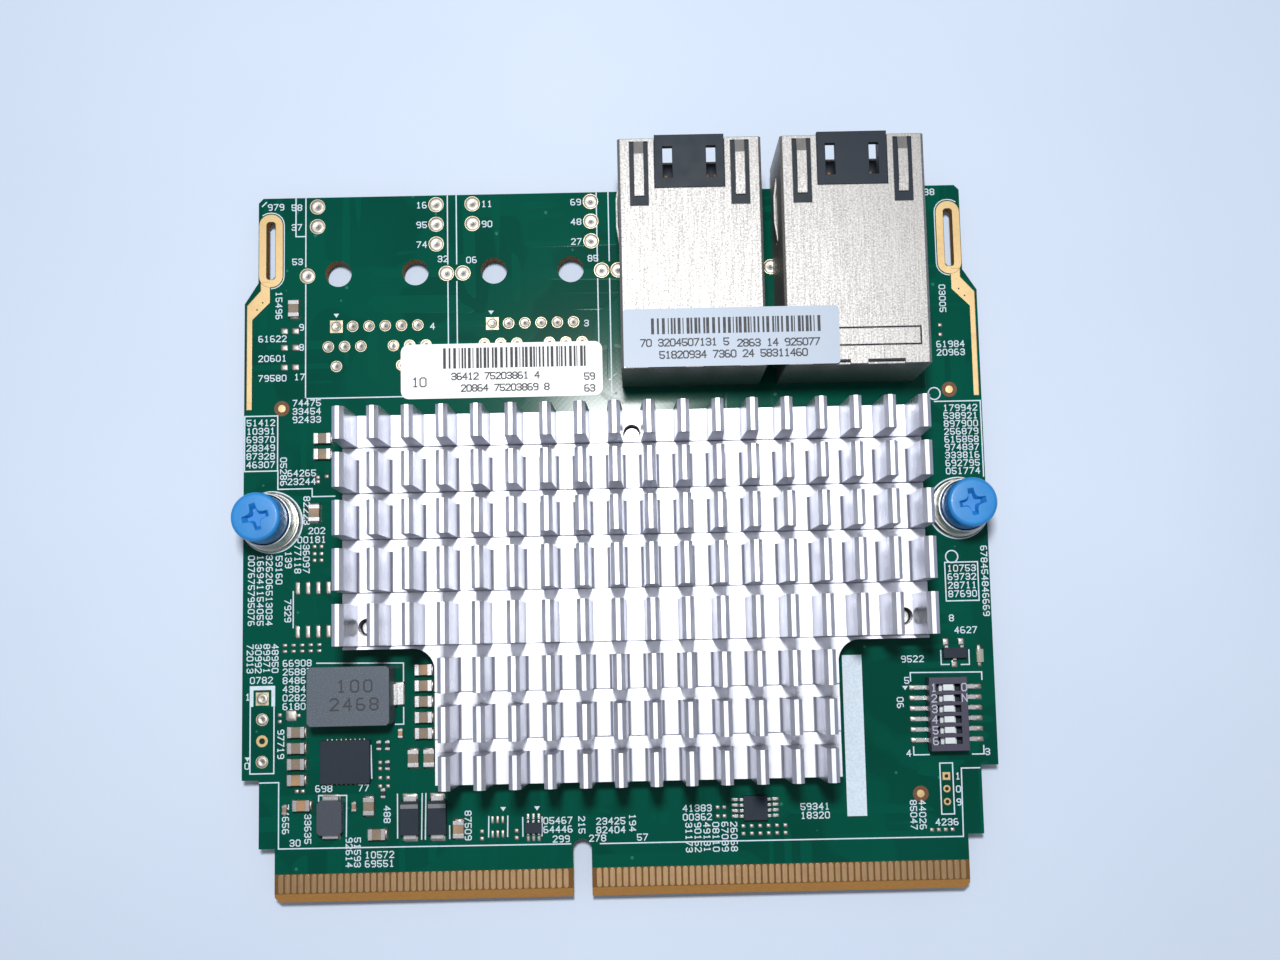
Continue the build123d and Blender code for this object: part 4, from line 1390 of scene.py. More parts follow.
@dataclass
class BoardPrint:
    """White print on the board: plain numbers beside the parts, outlines and one blank field."""

    letter: float = 0.72
    line: float = 0.12
    outline: float = 0.15
    outline_rise: float = 0.002
    thickness: float = 0.02
    digits_from: int = 314159265358979
    spare_left: float = -38.35
    spare_middle: Place = (-20.48, -19.36)
    spare_right: Place = (-1.64, -0.14)
    spare_low: float = 61.4
    back: float = 87.0
    tab_gap: Place = (75.9, 78.2)
    blank_field: tuple[float, float, float, float] = (27.4, 8.8, 29.8, 28.2)
    bracket_line: float = 0.45
    bracket_rise: float = 0.003
    side: float = 45.8
    ring_radius: float = 3.8
    thumbscrew: Place = (42.5, 46.0)
    hole_ring: float = 0.75
    slot: Place = (-42.75, 80.35)
    slot_loop: tuple[float, float, float] = (3.35, 9.75, 1.6)

    def numbers(self) -> list[Numbers]:
        """List the blocks of numbers, from the back's left corner to the front's right.

        Returns:
            The blocks, in the order in which they count.
        """
        return [
            Numbers(-43.1, 85.6, digits=3), Numbers(-40.1, 85.5, digits=2),
            Numbers(-40.1, 82.95, digits=2), Numbers(-24.35, 85.5, 3, 2, 2.55),
            Numbers(-40.0, 78.5, digits=2), Numbers(-21.7, 78.5, digits=2),
            Numbers(-16.1, 85.5, 2, 2, 2.6), Numbers(-4.85, 85.5, 3, 2, 2.55),
            Numbers(-18.1, 78.3, digits=2), Numbers(-2.8, 78.2, digits=2),
            Numbers(-22.7, 69.9, digits=1), Numbers(-3.4, 69.9, digits=1),
            Numbers(-44.2, 68.7, 3, 5, 2.5), Numbers(-39.1, 70.1, 2, 1, 2.55),
            Numbers(-39.7, 63.8, digits=2), Numbers(-41.35, 75.0, down=True), Numbers(-39.9, 60.5, 3),
            Numbers(-45.6, 58.1, 6), Numbers(-40.7, 54.0, down=True), Numbers(-40.5, 51.7, 2),
            Numbers(-37.8, 49.1, down=True), Numbers(-37.9, 44.5, digits=3), Numbers(-39.25, 43.4),
            Numbers(-41.2, 41.8, down=True), Numbers(-40.05, 42.3, digits=3, down=True),
            Numbers(-38.9, 43.1, 2, down=True), Numbers(-44.6, 41.9, 3, 12, 1.1, True),
            Numbers(-44.7, 31.0, 4, 5, 1.02, True), Numbers(-40.1, 36.4, digits=4, down=True),
            Numbers(-41.0, 28.3, 6, 5, 1.05), Numbers(-45.0, 26.3, digits=4),
            Numbers(-45.55, 24.3, digits=1), Numbers(-45.6, 16.0, digits=1),
            Numbers(-40.9, 20.6, down=True), Numbers(-37.0, 13.1, digits=3),
            Numbers(-31.8, 13.1, digits=2), Numbers(-40.3, 11.6, down=True),
            Numbers(-37.6, 10.4, down=True), Numbers(-32.6, 7.5, 2, 5, 1.0, True),
            Numbers(-31.0, 5.1, 2), Numbers(-40.1, 6.7, digits=2), Numbers(-18.2, 10.4, down=True),
            Numbers(-28.0, 11.2, digits=3, down=True), Numbers(-9.4, 8.7, 2), Numbers(-3.0, 8.5, 2),
            Numbers(7.5, 9.8, 2), Numbers(21.8, 9.7, 2), Numbers(-8.3, 6.5, digits=3),
            Numbers(-3.9, 6.5, digits=3), Numbers(1.9, 6.5, digits=2), Numbers(38.1, 7.5, digits=4),
            Numbers(-4.45, 9.45, digits=3, down=True), Numbers(1.7, 9.55, digits=3, down=True),
            Numbers(8.5, 8.4, 6, 5, 1.09, True), Numbers(35.8, 10.5, 2, 5, 1.09, True),
            Numbers(42.0, 74.2, down=True), Numbers(40.7, 66.3, 2), Numbers(41.2, 58.2, 9, 6, 0.99),
            Numbers(40.85, 38.2, 4, 5, 1.05), Numbers(45.75, 41.2, digits=12, down=True),
            Numbers(40.8, 32.1, digits=1), Numbers(41.4, 30.6, digits=4),
            Numbers(34.7, 22.9, digits=2, down=True), Numbers(35.0, 24.6, digits=1),
            Numbers(34.9, 15.8, digits=1), Numbers(44.5, 15.8, digits=1), Numbers(34.7, 27.2, digits=4),
            Numbers(40.75, 12.95, 3, 1, 1.55), Numbers(39.2, 85.9, digits=3),
        ]

    def text(self) -> np.ndarray:
        """Write the blocks, each number made from its place in the count.

        Returns:
            One row of x1, y1, x2, y2 for each stroke.
        """
        lines = []
        serial = 0
        for group in self.numbers():
            for row in range(group.rows):
                serial += 1
                text = str(serial * self.digits_from % 10 ** group.digits).zfill(group.digits)
                shift = row * group.step
                x, y = (group.x + shift, group.y) if group.down else (group.x, group.y - shift)
                lines.append(lettering(text, x, y, self.letter, group.down))
        return np.concatenate(lines)

    def outlines(self) -> np.ndarray:
        """Draw the outlines of the empty places, the parts, the tables of numbers and the contact zone.

        Returns:
            One row of x1, y1, x2, y2 for each line.
        """
        gap_low, gap_high = self.tab_gap
        lines = []
        for x in (self.spare_left, *self.spare_middle, *self.spare_right):
            lines += [polyline((x, self.spare_low), (x, gap_low)), polyline((x, gap_high), (x, self.back))]
        lines += [
            polyline((self.spare_left, self.spare_low), (self.spare_middle[0], self.spare_low)),
            polyline((self.spare_middle[1], self.spare_low), (self.spare_right[0], self.spare_low)),
            polyline((-39.6, self.back), (-39.6, 82.1), (self.spare_left, 82.1)),
            polyline((-43.85, 86.1), (-43.35, 86.6)),
            rectangle(-45.9, 52.4, -41.8, 59.3),
            polyline((-41.75, 52.4), (-41.75, 50.1), (-37.5, 50.1), (-37.5, 49.1), (-34.7, 49.1)),
            polyline((-39.8, 37.4), (-39.8, 33.0)),
            polyline((self.side, 49.9), (self.side, 59.4), (40.1, 59.4)),
            rectangle(40.5, 34.55, 44.55, 39.3),
            rectangle(-45.0, 15.4, -42.1, 25.9),
            polyline((-36.9, 28.6), (-26.3, 28.4), (-26.3, 26.2)),
            polyline((-26.3, 23.0), (-26.3, 21.0), (-27.3, 21.0)),
            polyline((-36.65, 12.0), (-36.65, 12.65), (-33.25, 12.6), (-33.3, 7.7)),
            polyline((-30.3, 18.5), (-30.2, 14.6)),
            polyline((-27.1, 12.6), (-27.1, 7.4)),
            polyline((-24.1, 12.6), (-24.2, 7.2)),
            polyline((-23.65, 12.6), (-23.75, 7.2)),
            polyline((-20.8, 8.7), (-20.8, 7.2)),
            polyline((35.7, 24.9), (35.7, 25.9), (44.45, 25.8), (44.45, 24.9)),
            polyline((35.75, 16.9), (35.75, 15.95), (37.6, 15.95)),
            polyline((42.9, 15.9), (44.3, 15.9), (44.3, 16.9)),
            polyline((39.55, 28.5), (39.55, 26.8), (40.5, 26.8)),
            polyline((42.0, 26.75), (43.0, 26.75), (43.0, 28.5)),
            rectangle(38.85, 8.8, 40.4, 14.9),
            polyline((-16.05, 9.7), (-16.1, 7.3)),
            polyline((-13.75, 9.7), (-13.8, 7.3)),
            polyline((-11.95, 9.5), (-11.95, 7.3)),
            polyline((-9.6, 9.5), (-9.65, 7.3)),
            polyline((-43.8, 14.3), (-41.5, 14.3), (-41.5, 6.4), (-6.2, 6.25)),
            polyline((43.7, 14.25), (41.45, 14.25), (41.35, 6.1), (-2.6, 6.2)),
        ]
        for place in ((40.1, 60.4), (41.4, 40.0)):
            ring = circle(self.hole_ring, 20) + place
            lines.append(polyline(*ring, ring[0]))
        return np.concatenate(lines)

    def marks(self, low: float, high: float) -> list[Shape]:
        """The solid marks: first-pin triangles, the blank white field and the header's bracket.

        Args:
            low, high: the heights of the ink's two faces.

        Returns:
            The three kinds of mark.
        """
        triangle = np.array([[-0.35, 0.5], [0.35, 0.5], [0, 0]])
        places = [(-34.5, 71.6), (-15.1, 71.6), (35.0, 23.8), (-14.3, 10.3), (-10.2, 10.3), (-45.3, 16.9)]
        left, bottom, right, top = self.blank_field
        field = block(right - left, top - bottom, high - low)
        field = field.moved((left + right) / 2, (bottom + top) / 2, low)
        bracket = polyline((-44.85, 23.7), (-44.85, 25.7), (-42.2, 25.7), (-42.2, 23.7))
        return [plates(np.array(places)[:, None] + triangle[None], low, high), field,
                bars(bracket, self.bracket_line, low, high + self.bracket_rise)]

    def thumbscrew_ring(self) -> np.ndarray:
        """The ring round the right thumbscrew, open where the board's side cuts it off.

        Returns:
            One row of x1, y1, x2, y2 for each line.
        """
        gap = math.acos((self.side - self.thumbscrew[0]) / self.ring_radius)
        turn = np.linspace(gap, FULL_TURN - gap, 64)
        ring = np.stack([np.cos(turn), np.sin(turn)], axis=1) * self.ring_radius + self.thumbscrew
        return polyline(*ring)

    def slot_arc(self) -> np.ndarray:
        """The line round the inner side of the left slot's ring.

        Returns:
            One row of x1, y1, x2, y2 for each line.
        """
        steps = 6
        loop = rounded_rectangle(*self.slot_loop, steps) + self.slot
        return polyline(*loop[3 * steps:], *loop[:steps + 3])

    def build(self) -> None:
        """Print everything as thin bars of ink on the board's top face."""
        low, high = BOARD_TOP, BOARD_TOP + self.thickness
        text = bars(self.text(), self.line, low, high)
        outlines = bars(self.outlines(), self.outline, low, high + self.outline_rise)
        rings = both_sides(bars(self.thumbscrew_ring(), self.outline, low, high))
        add_piece("board_print", joined([text, outlines, *self.marks(low, high), rings]), SILK)
        add_piece("slot_print", both_sides(bars(self.slot_arc(), self.line, low, high)), SILK)


@dataclass
class BoardMetal:
    """The board's own finish and its bare metal: gilt rings and bands, soldered holes, pads and targets."""

    gilt: float = 0.03
    under_gilt: float = 0.024
    slot: Place = (42.75, 80.35)
    slot_size: Place = (1.16, 7.46)
    slot_corner: float = 0.4
    ring_size: Place = (3.0, 9.4)
    ring_corner: float = 1.48
    spare_ports: Place = (-29.4, -9.86)
    fitted_ports: Place = (9.7, 28.95)
    pin_pitch: float = 2.04
    pin_rows: tuple[float, float, float] = (70.45, 67.9, 65.4)
    pin_radius: float = 0.66
    lamp_reach: float = 7.48
    lamp_rows: tuple[float, float, float] = (85.9, 83.35, 80.8)
    tab_reach: float = 8.74
    tab_y: float = 77.0
    pad_radius: float = 0.92
    rim_outside: float = 0.06
    rim_inside: float = 0.08
    square: float = 1.6
    covered_share: float = 0.3
    post_reach: float = 4.84
    post_y: float = 77.2
    header_x: float = -43.55
    header_rows: tuple[float, float, float] = (24.4, 21.9, 16.8)
    header_radius: float = 0.7
    open_header_y: float = 19.3
    open_header_ring: Place = (0.72, 0.36)
    jumper_x: float = 39.6
    jumper_rows: tuple[float, float, float] = (13.34, 11.82, 10.28)
    jumper_ring: Place = (0.45, 0.225)
    jumper_square: tuple[float, float, float] = (0.95, 0.95, 0.06)
    jumper_hole: float = 0.22
    targets: tuple[Place, ...] = ((-41.3, 60.2), (42.0, 60.9), (36.4, 11.3))
    target_ring: Place = (0.95, 0.52)
    target_ring_height: float = 0.012
    band_vias: tuple[Place, ...] = ((43.75, 73.7), (44.45, 72.8))
    dot_profile: tuple[Place, ...] = ((0.5, 0.0), (0.48, 0.025), (0.1, 0.03))
    via_profile: tuple[Place, ...] = ((0.12, 0.0), (0.1, 0.035))
    bore_profile: tuple[Place, ...] = ((0.24, 0.0), (0.2, 0.02))
    tail_profile: tuple[Place, ...] = ((0.7, 0.0), (0.6, -0.08), (0.34, -0.45), (0.25, -0.95), (0.12, -1.05))
    post_profile: tuple[Place, ...] = ((1.6, 0.0), (1.6, -0.5), (1.35, -0.8), (0.2, -0.85))

    def band(self) -> Shape:
        """The left ring round its slot, and the band that runs from it along the board's side.

        Returns:
            The ring and the band.
        """
        steps = 9
        outer = rounded_rectangle(*self.ring_size, self.ring_corner, steps)
        inner = rounded_rectangle(*self.slot_size, self.slot_corner, steps)
        ring = ring_plate(outer, inner, BOARD_TOP, BOARD_TOP + self.gilt).moved(-self.slot[0], self.slot[1])
        route = [(-44.0, 76.3), (-44.0, 75.2), (-45.7, 73.3), (-45.7, 60.1), (-45.05, 60.1), (-45.05, 71.5),
                 (-42.85, 73.7), (-42.85, 76.3)]
        return joined([ring, prism(route, BOARD_TOP, BOARD_TOP + self.under_gilt)])

    def port_pins(self, ports: Sequence[float]) -> list[Place]:
        """The small holes of jacks' places: three rows of pins on one pitch.

        Args:
            ports: the jacks' middles along X.

        Returns:
            The holes' places.
        """
        rows = ((-2.5, -1.5, -0.5, 0.5, 1.5, 2.5), (-3, -2, -1, 1, 2, 3), (-2.5, 1.5))
        return [(port + step * self.pin_pitch, y) for port in ports
                for row, y in zip(rows, self.pin_rows) for step in row]

    def port_lamps(self, ports: Sequence[float]) -> list[Place]:
        """The lamps' holes of jacks' places: two on the left and three on the right."""
        return [(port + side * self.lamp_reach, y) for port in ports for side, first in ((-1, 2), (1, 3))
                for y in self.lamp_rows[:first]]

    def port_tabs(self, ports: Sequence[float]) -> list[Place]:
        """The holes for the shields' two tabs."""
        return [(port + side * self.tab_reach, self.tab_y) for port in ports for side in (-1, 1)]

    def flattened(self, wells: Shape) -> Shape:
        """Press the solder flat where the label lies over it.

        Args:
            wells: the solder, from Z = 0 up.

        Returns:
            The same shape, pressed.
        """
        low, high = (np.array(corner[:2]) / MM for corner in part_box("board_label"))
        flat = wells.points[:, :2]
        covered = np.all((flat > low - self.pin_radius) & (flat < high + self.pin_radius), axis=1)
        wells.points[covered, 2] *= self.covered_share
        return wells

    def holes(self) -> None:
        """Fill the empty places' holes with solder, on both faces, and ring each with gilt."""
        pins = self.port_pins(self.spare_ports)
        pads = self.port_lamps(self.spare_ports) + self.port_tabs((*self.spare_ports, *self.fitted_ports))
        header = crossed([self.header_x], self.header_rows)
        groups = ((self.pin_radius, pins), (self.pad_radius, pads), (self.header_radius, header))
        wells = joined([soldered_hole(radius).tiled(spots) for radius, spots in groups])
        add_piece("soldered_holes", both_faces(self.flattened(wells)), SOLDER)
        rims = []
        for radius, spots in groups:
            outer, inner = circle(radius + self.rim_outside, 32), circle(radius - self.rim_inside, 32)
            rims.append(ring_plate(outer, inner, 0.0, self.gilt).tiled(spots))
        first_pins = [(port - 2.5 * self.pin_pitch, self.pin_rows[0]) for port in self.spare_ports]
        squares = block(self.square, self.square, self.under_gilt).tiled([*first_pins, header[0]])
        add_piece("pad_rims", both_faces(joined([*rims, squares])), RIM)

    def open_holes(self) -> None:
        """Ring the holes that were left open: one of the header's, and the jumper's three; put a dark disc
        of painted shade in each.
        """
        sides = 24
        square, *rounds = crossed([self.jumper_x], self.jumper_rows)
        header = (self.header_x, self.open_header_y)
        rings = (
            (*[circle(radius, sides) for radius in self.jumper_ring], rounds),
            (rounded_rectangle(*self.jumper_square), circle(self.jumper_hole, sides), [square]),
            (*[circle(radius, sides) for radius in self.open_header_ring], [header]),
        )
        gilt = [ring_plate(outer, inner, 0.0, self.gilt).tiled(spots) for outer, inner, spots in rings]
        add_piece("open_rings", both_faces(joined(gilt)), GOLD_RING)
        # Near-black discs in the open holes: painted shade.
        dark = lathe(self.bore_profile, 20)
        add_piece("empty_bore_shade", dark.tiled([square, *rounds, header], BOARD_TOP), HOLE_SHADE)

    def tails(self) -> None:
        """Under the fitted jacks: soldered pin tails and the ends of their locating posts."""
        pins = self.port_pins(self.fitted_ports) + self.port_lamps(self.fitted_ports)
        add_piece("pin_tails", lathe(self.tail_profile, 20).tiled(pins), SOLDER)
        columns = [port + side * self.post_reach for port in self.fitted_ports for side in (-1, 1)]
        posts = lathe(self.post_profile, 32).tiled(crossed(columns, [self.post_y]))
        add_piece("post_ends", posts, BLACK)

    def pads(self) -> None:
        """Tin the empty pads: pairs and rows beside the parts, each a low pillow of solder."""
        small = [
            *crossed((-37.2, -36.35), (42.9, 42.0, 41.2)),
            *crossed((-29.2, -28.25), (16.45, 15.7, 14.6, 13.6)),
            *crossed((-39.3, -38.6), (13.2,)),
            *crossed((-16.9, -12.7), (7.95, 7.1)),
            *crossed(spaced(14.75, 1.02, 6), (7.9, 7.0)),
            *crossed((11.7, 12.5), (10.2, 9.15)),
            *crossed(spaced(37.6, 0.83, 4), (6.95,)),
            *crossed((41.2,), (69.1, 67.9)),
            (-36.8, 51.5), (-35.7, 51.6), (-36.8, 50.95), (-41.4, 22.4), (-41.4, 21.6), (-39.1, 22.3),
        ]
        groups = (
            (pillow(0.9, 0.8, 0.1), crossed((-41.0, -39.6), (70.0, 67.9, 65.4))),
            (pillow(0.62, 0.42, 0.1), crossed(spaced(-40.8, 1.05, 5), (30.85, 30.1))),
            (pillow(0.55, 0.5, 0.1), small),
            (pillow(0.6, 1.6, 0.08), crossed(spaced(-39.25, 1.26, 4), (37.8, 32.45))),
            (pillow(0.38, 0.95, 0.07), crossed(spaced(-15.62, 0.62, 3), (9.3, 7.6))),
            (pillow(1.35, 1.35, 0.12), [(-40.0, 22.3)]),
        )
        add_piece("tinned_pads", joined([pad.tiled(spots, BOARD_TOP) for pad, spots in groups]), SOLDER)

    def build(self) -> None:
        """Dress the board, lay the rings, bands and targets, then the holes, tails and pads."""
        dress(BOARD, "board")
        add_piece("gilt_bands", both_sides(self.band()), GOLD_RING)
        dots = lathe(self.dot_profile, 32).tiled(self.targets, BOARD_TOP)
        add_piece("target_dots", dots, GOLD_RING)
        outer, inner = [circle(radius, 40) for radius in self.target_ring]
        bare = ring_plate(outer, inner, 0.0, self.target_ring_height)
        add_piece("target_rings", bare.tiled(self.targets, BOARD_TOP), BARE)
        # Near-black pricks in the band's open vias: painted shade.
        prick = lathe(self.via_profile, 12)
        add_piece("band_vias", both_sides(prick.tiled(self.band_vias, BOARD_TOP)), HOLE_SHADE)
        self.holes()
        self.open_holes()
        self.tails()
        self.pads()


@dataclass
class EdgeConnector:
    """The card edge: gilt contacts with rounded ends, on the top face and below."""

    end_share: float = 0.45

    def build(self) -> None:
        """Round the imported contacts' ends, and repeat the row, mirrored, on the underside."""
        low, high = solid_boxes("edge_contacts")
        width, length, height = (high - low)[0]
        contact = prism(rounded_rectangle(width, length, width * self.end_share), 0, height)
        above = contact.tiled(((low + high) / 2)[:, :2], low[0, 2])
        add_piece("top_contacts", above, GILT, stands_for=["edge_contacts"])
        add_piece("underside_contacts", above.mirrored(2, BOARD_TOP / 2), GILT)


@dataclass(frozen=True)
class Leads:
    """The bent leads of one part, with their solder.

    Attributes:
        lead: a lead's reach, height and width.
        solder: the width, depth and height of the solder under it.
        solder_reach: how far out from the body the solder lies.
        places: for each lead, where it leaves the body, and the way that it points, in degrees.
    """

    lead: tuple[float, float, float]
    solder: tuple[float, float, float]
    solder_reach: float
    places: Sequence[tuple[float, float, float]]

    def shapes(self) -> tuple[Shape, Shape]:
        """Bend the leads and melt the solder.

        Returns:
            The leads and the solder.
        """
        lead, solder = gull_wing(*self.lead), pillow(*self.solder)
        out = [(math.cos(math.radians(turn)), math.sin(math.radians(turn))) for _, _, turn in self.places]
        spots = [(x + self.solder_reach * east, y + self.solder_reach * north)
                 for (x, y, _), (east, north) in zip(self.places, out)]
        bent = [lead.moved(x, y, BOARD_TOP, turn) for x, y, turn in self.places]
        return joined(bent), solder.tiled(spots, BOARD_TOP)


@dataclass
class ChipParts:
    """Small parts: the metal ends, solder and leads that their plain bodies lack."""

    end_share: float = 0.24
    end_skin: float = 0.03
    fillet_reach: float = 0.32
    fillet_width: float = 1.12
    fillet_height: float = 0.48
    regulator_columns: tuple[float, float, int] = (-35.56, 0.56, 9)
    regulator_rows: Place = (14.04, 19.24)
    lamp_place: Place = (44.25, 27.8)

    def metal_ends(self, node: str) -> tuple[Shape, Shape]:
        """Cap both ends of each body of a node, and run solder out from each end.

        Args:
            node: a node of plain boxes.

        Returns:
            The caps and the solder.
        """
        low, high = solid_boxes(node)
        size = high - low
        row = np.arange(len(low))
        axis = np.where(size[:, 0] > size[:, 1], 0, 1)
        length, width = size[row, axis], size[row, 1 - axis]
        spread = np.empty_like(size)
        spread[row, axis] = 2 * self.fillet_reach * np.minimum(1, width)
        spread[row, 1 - axis] = width * self.fillet_width
        spread[:, 2] = size[:, 2] * self.fillet_height
        caps, solder = [], []
        for end in (-1, 1):
            first, last = low - self.end_skin, high + self.end_skin
            if end < 0:
                last[row, axis] = low[row, axis] + length * self.end_share
            else:
                first[row, axis] = high[row, axis] - length * self.end_share
            middle = (low + high) / 2
            middle[row, axis] += end * length / 2
            first[:, 2] = middle[:, 2] = BOARD_TOP
            caps.append(boxes(first, last))
            solder.append(pillow(1.0, 1.0, 1.0).fitted(middle, spread))
        return joined(caps), joined(solder)

    def leads(self) -> list[Leads]:
        """List the leads of the transistor, the array and the memory.

        Returns:
            One set for each of them.
        """
        array = [(x, y, turn) for x in spaced(-11.3, 0.65, 3) for y, turn in ((8.925, 90), (7.675, -90))]
        memory = [(x, y, turn) for y in spaced(9.11, 0.66, 4) for x, turn in ((14.8, 180), (17.7, 0))]
        return [
            Leads((0.75, 0.45, 0.42), (0.75, 0.95, 0.1), 0.7,
                  [(40.2, 28.825, 90), (42.1, 28.825, 90), (41.15, 27.575, -90)]),
            Leads((0.7, 0.4, 0.26), (0.42, 0.9, 0.09), 0.62, array),
            Leads((1.15, 0.45, 0.36), (0.7, 0.44, 0.1), 1.1, memory),
        ]

    def build(self) -> None:
        """Dress the bodies, then add ends, leads and solder."""
        dress(CERAMIC, "capacitors")
        dress(EPOXY, "resistors", "transistors", "memory_chip", "regulator_chip", "diodes")
        dress(CLEAR, "status_lamp")
        caps, ends = zip(*[self.metal_ends(node) for node in ("capacitors", "resistors")])
        leads, pads = zip(*[group.shapes() for group in self.leads()])
        regulator = crossed(spaced(*self.regulator_columns), self.regulator_rows)
        fillets = pillow(0.3, 0.5, 0.22, 5).tiled(regulator, BOARD_TOP)
        lamp = pillow(0.5, 2.7, 0.1).tiled([self.lamp_place], BOARD_TOP)
        add_piece("chip_ends", joined(caps), TIN)
        add_piece("chip_solder", joined([*ends, *pads, fillets, lamp]), SOLDER)
        add_piece("small_leads", joined(leads), TIN)


@dataclass
class PowerStage:
    """The coil's marks, the diodes' bands, and solder under the power parts' metal ends."""

    coil_top: float = BOARD_TOP + 5.0
    marks: tuple[tuple[str, float, float], ...] = (("100", -33.4, 25.15), ("2468", -34.25, 23.0))
    mark_height: float = 1.35
    mark_line: float = 0.19
    mark_advance: float = 7.0
    mark_ink: float = 0.015
    diode_x: Place = (-25.55, -22.22)
    diode_ends: Place = (12.25, 7.35)
    diode_top: float = BOARD_TOP + 1.1
    diode_band: tuple[float, float, float] = (2.1, 0.5, 0.012)
    diode_band_y: float = 11.2
    solder: float = 0.16

    def build(self) -> None:
        """Dress the coil and the choke, print plain digits on the coil, and band the diodes."""
        dress(FERRITE, "power_inductor")
        dress(CHOKE, "small_choke")
        dress(TIN, "power_inductor_straps", "small_choke_ends", "diode_leads")
        rows = [lettering(*mark, self.mark_height, advance=self.mark_advance) for mark in self.marks]
        marks = bars(np.concatenate(rows), self.mark_line, self.coil_top, self.coil_top + self.mark_ink)
        add_piece("coil_marks", marks, DARK_INK)
        bands = block(*self.diode_band).tiled(crossed(self.diode_x, [self.diode_band_y]), self.diode_top)
        add_piece("diode_bands", bands, GREY_INK)
        groups = (
            ((1.3, 2.8), [(-26.8, 24.75), (-37.5, 24.62)]),
            ((2.2, 0.8), [(-35.05, 12.4), (-35.05, 7.8)]),
            ((1.9, 0.9), crossed(self.diode_x, self.diode_ends)),
        )
        solder = [pillow(*size, self.solder).tiled(spots, BOARD_TOP) for size, spots in groups]
        add_piece("power_solder", joined(solder), SOLDER)


@dataclass
class SlideSwitch:
    """The six-way switch: its digits and word, and solder under its leads."""

    y: float = 20.9
    pitch: float = 1.27
    count: int = 6
    top: float = BOARD_TOP + 2.5
    letter: float = 0.86
    line: float = 0.13
    ink: float = 0.012
    digit_x: float = 37.75
    word: str = "ON"
    word_x: float = 41.42
    lead_x: Place = (36.2, 43.6)
    solder: tuple[float, float, float] = (1.5, 0.66, 0.14)

    def build(self) -> None:
        """Dress the housing and the sliders, print the marks and solder the leads."""
        dress(PLUM, "switch_cover")
        dress(BLACK, "switch_base")
        dress(WHITE, *[f"switch_slider_{number}" for number in range(1, self.count + 1)])
        dress(TIN, "switch_leads")
        rows = [self.y + (self.count / 2 - 0.5 - row) * self.pitch for row in range(self.count)]
        digits = [(str(row + 1), self.digit_x, y) for row, y in enumerate(rows)]
        letters = [(letter, self.word_x, y) for letter, y in zip(self.word, rows)]
        marks = [lettering(text, x, y - self.letter / 2, self.letter) for text, x, y in digits + letters]
        ink = bars(np.concatenate(marks), self.line, self.top, self.top + self.ink)
        add_piece("switch_marks", ink, MARK_INK)
        solder = pillow(*self.solder).tiled(crossed(self.lead_x, rows), BOARD_TOP)
        add_piece("switch_solder", solder, SOLDER)


@dataclass
class Jacks:
    """The two jacks: nickel shields, black mouldings, gilt wires and clear lamps."""

    count: int = 2

    def build(self) -> None:
        """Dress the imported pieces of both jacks."""
        for number in range(1, self.count + 1):
            dress(SHIELD, f"jack_{number}_shell")
            dress(BLACK, f"jack_{number}_housing", f"jack_{number}_magnetics")
            dress(GILT, f"jack_{number}_contacts")
            dress(CLEAR, f"jack_{number}_lamps")


@dataclass
class Label:
    """A paper label with rounded corners, a field of stripes and rows of plain numbers.

    Attributes:
        node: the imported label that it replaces.
        stock: the paper's finish.
        stripes: the striped field's left, lower, right and upper ends.
        rows: for each row, its number, where it starts, and how tall its digits are.
        corner: the radius of the paper's corners.
        stripe: the unit of the stripes' widths.
        seed: where the draw of the stripes starts.
        advance: how far the next digit starts, on the digits' grid.
        line: how wide the digits' strokes are.
        ink: how thick the ink lies.
    """

    node: str
    stock: Finish
    stripes: tuple[float, float, float, float]
    rows: tuple[tuple[str, float, float, float], ...]
    corner: float
    stripe: float = 0.115
    seed: int = 4
    advance: float = 5.2
    line: float = 0.15
    ink: float = 0.012

    def striped_field(self, low: float, high: float) -> Shape:
        """Upright stripes whose widths and gaps are one to three units long, drawn with a fixed seed.

        Args:
            low, high: the heights of the ink's two faces.

        Returns:
            One thin box for each stripe.
        """
        left, bottom, right, top = self.stripes
        units = np.random.default_rng(self.seed).integers(1, 4, int((right - left) / self.stripe))
        edges = left + np.cumsum(units) * self.stripe
        edges = edges[edges < right]
        edges = edges[:len(edges) // 2 * 2].reshape(-1, 2)
        ends = np.ones(len(edges))
        return boxes(np.column_stack([edges[:, 0], ends * bottom, ends * low]),
                     np.column_stack([edges[:, 1], ends * top, ends * high]))

    def build(self) -> None:
        """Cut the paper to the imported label's size, then print the stripes and the numbers."""
        low, high = (np.array(corner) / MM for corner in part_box(self.node))
        middle = (low + high) / 2
        face = high[2] - self.ink
        paper = prism(rounded_rectangle(*(high - low)[:2], self.corner), low[2], face)
        paper = paper.moved(middle[0], middle[1])
        add_piece(f"{self.node}_paper", paper, self.stock, stands_for=[self.node])
        lines = [lettering(text, x, y, height, advance=self.advance) for text, x, y, height in self.rows]
        digits = bars(np.concatenate(lines), self.line, face, high[2] - OVERLAP_STEPS * OVERLAP_STEP)
        add_piece(f"{self.node}_ink", joined([self.striped_field(face, high[2]), digits]), DARK_INK)


BOARD_LABEL = Label(
    "board_label", PAPER, (-21.5, 64.8, -2.8, 67.4),
    (("10", -25.0, 62.6, 1.1), ("36412 75203861 4", -20.1, 63.4, 0.8), ("59", -3.5, 63.1, 0.8),
     ("20864 75203869 8", -18.9, 61.9, 0.8), ("63", -3.5, 61.6, 0.8)), 1.0)
# This label's paper carries painted shade in its colour.
JACK_LABEL = Label(
    "jack_label", SHADED_LABEL_PAPER, (4.4, 65.9, 24.7, 67.8),
    (("70 3204507131 5", 3.5, 64.5, 0.8), ("2863 14 925077", 14.8, 64.3, 0.8),
     ("51820934 7360 24 58311460", 5.7, 63.05, 0.8)), 0.4)


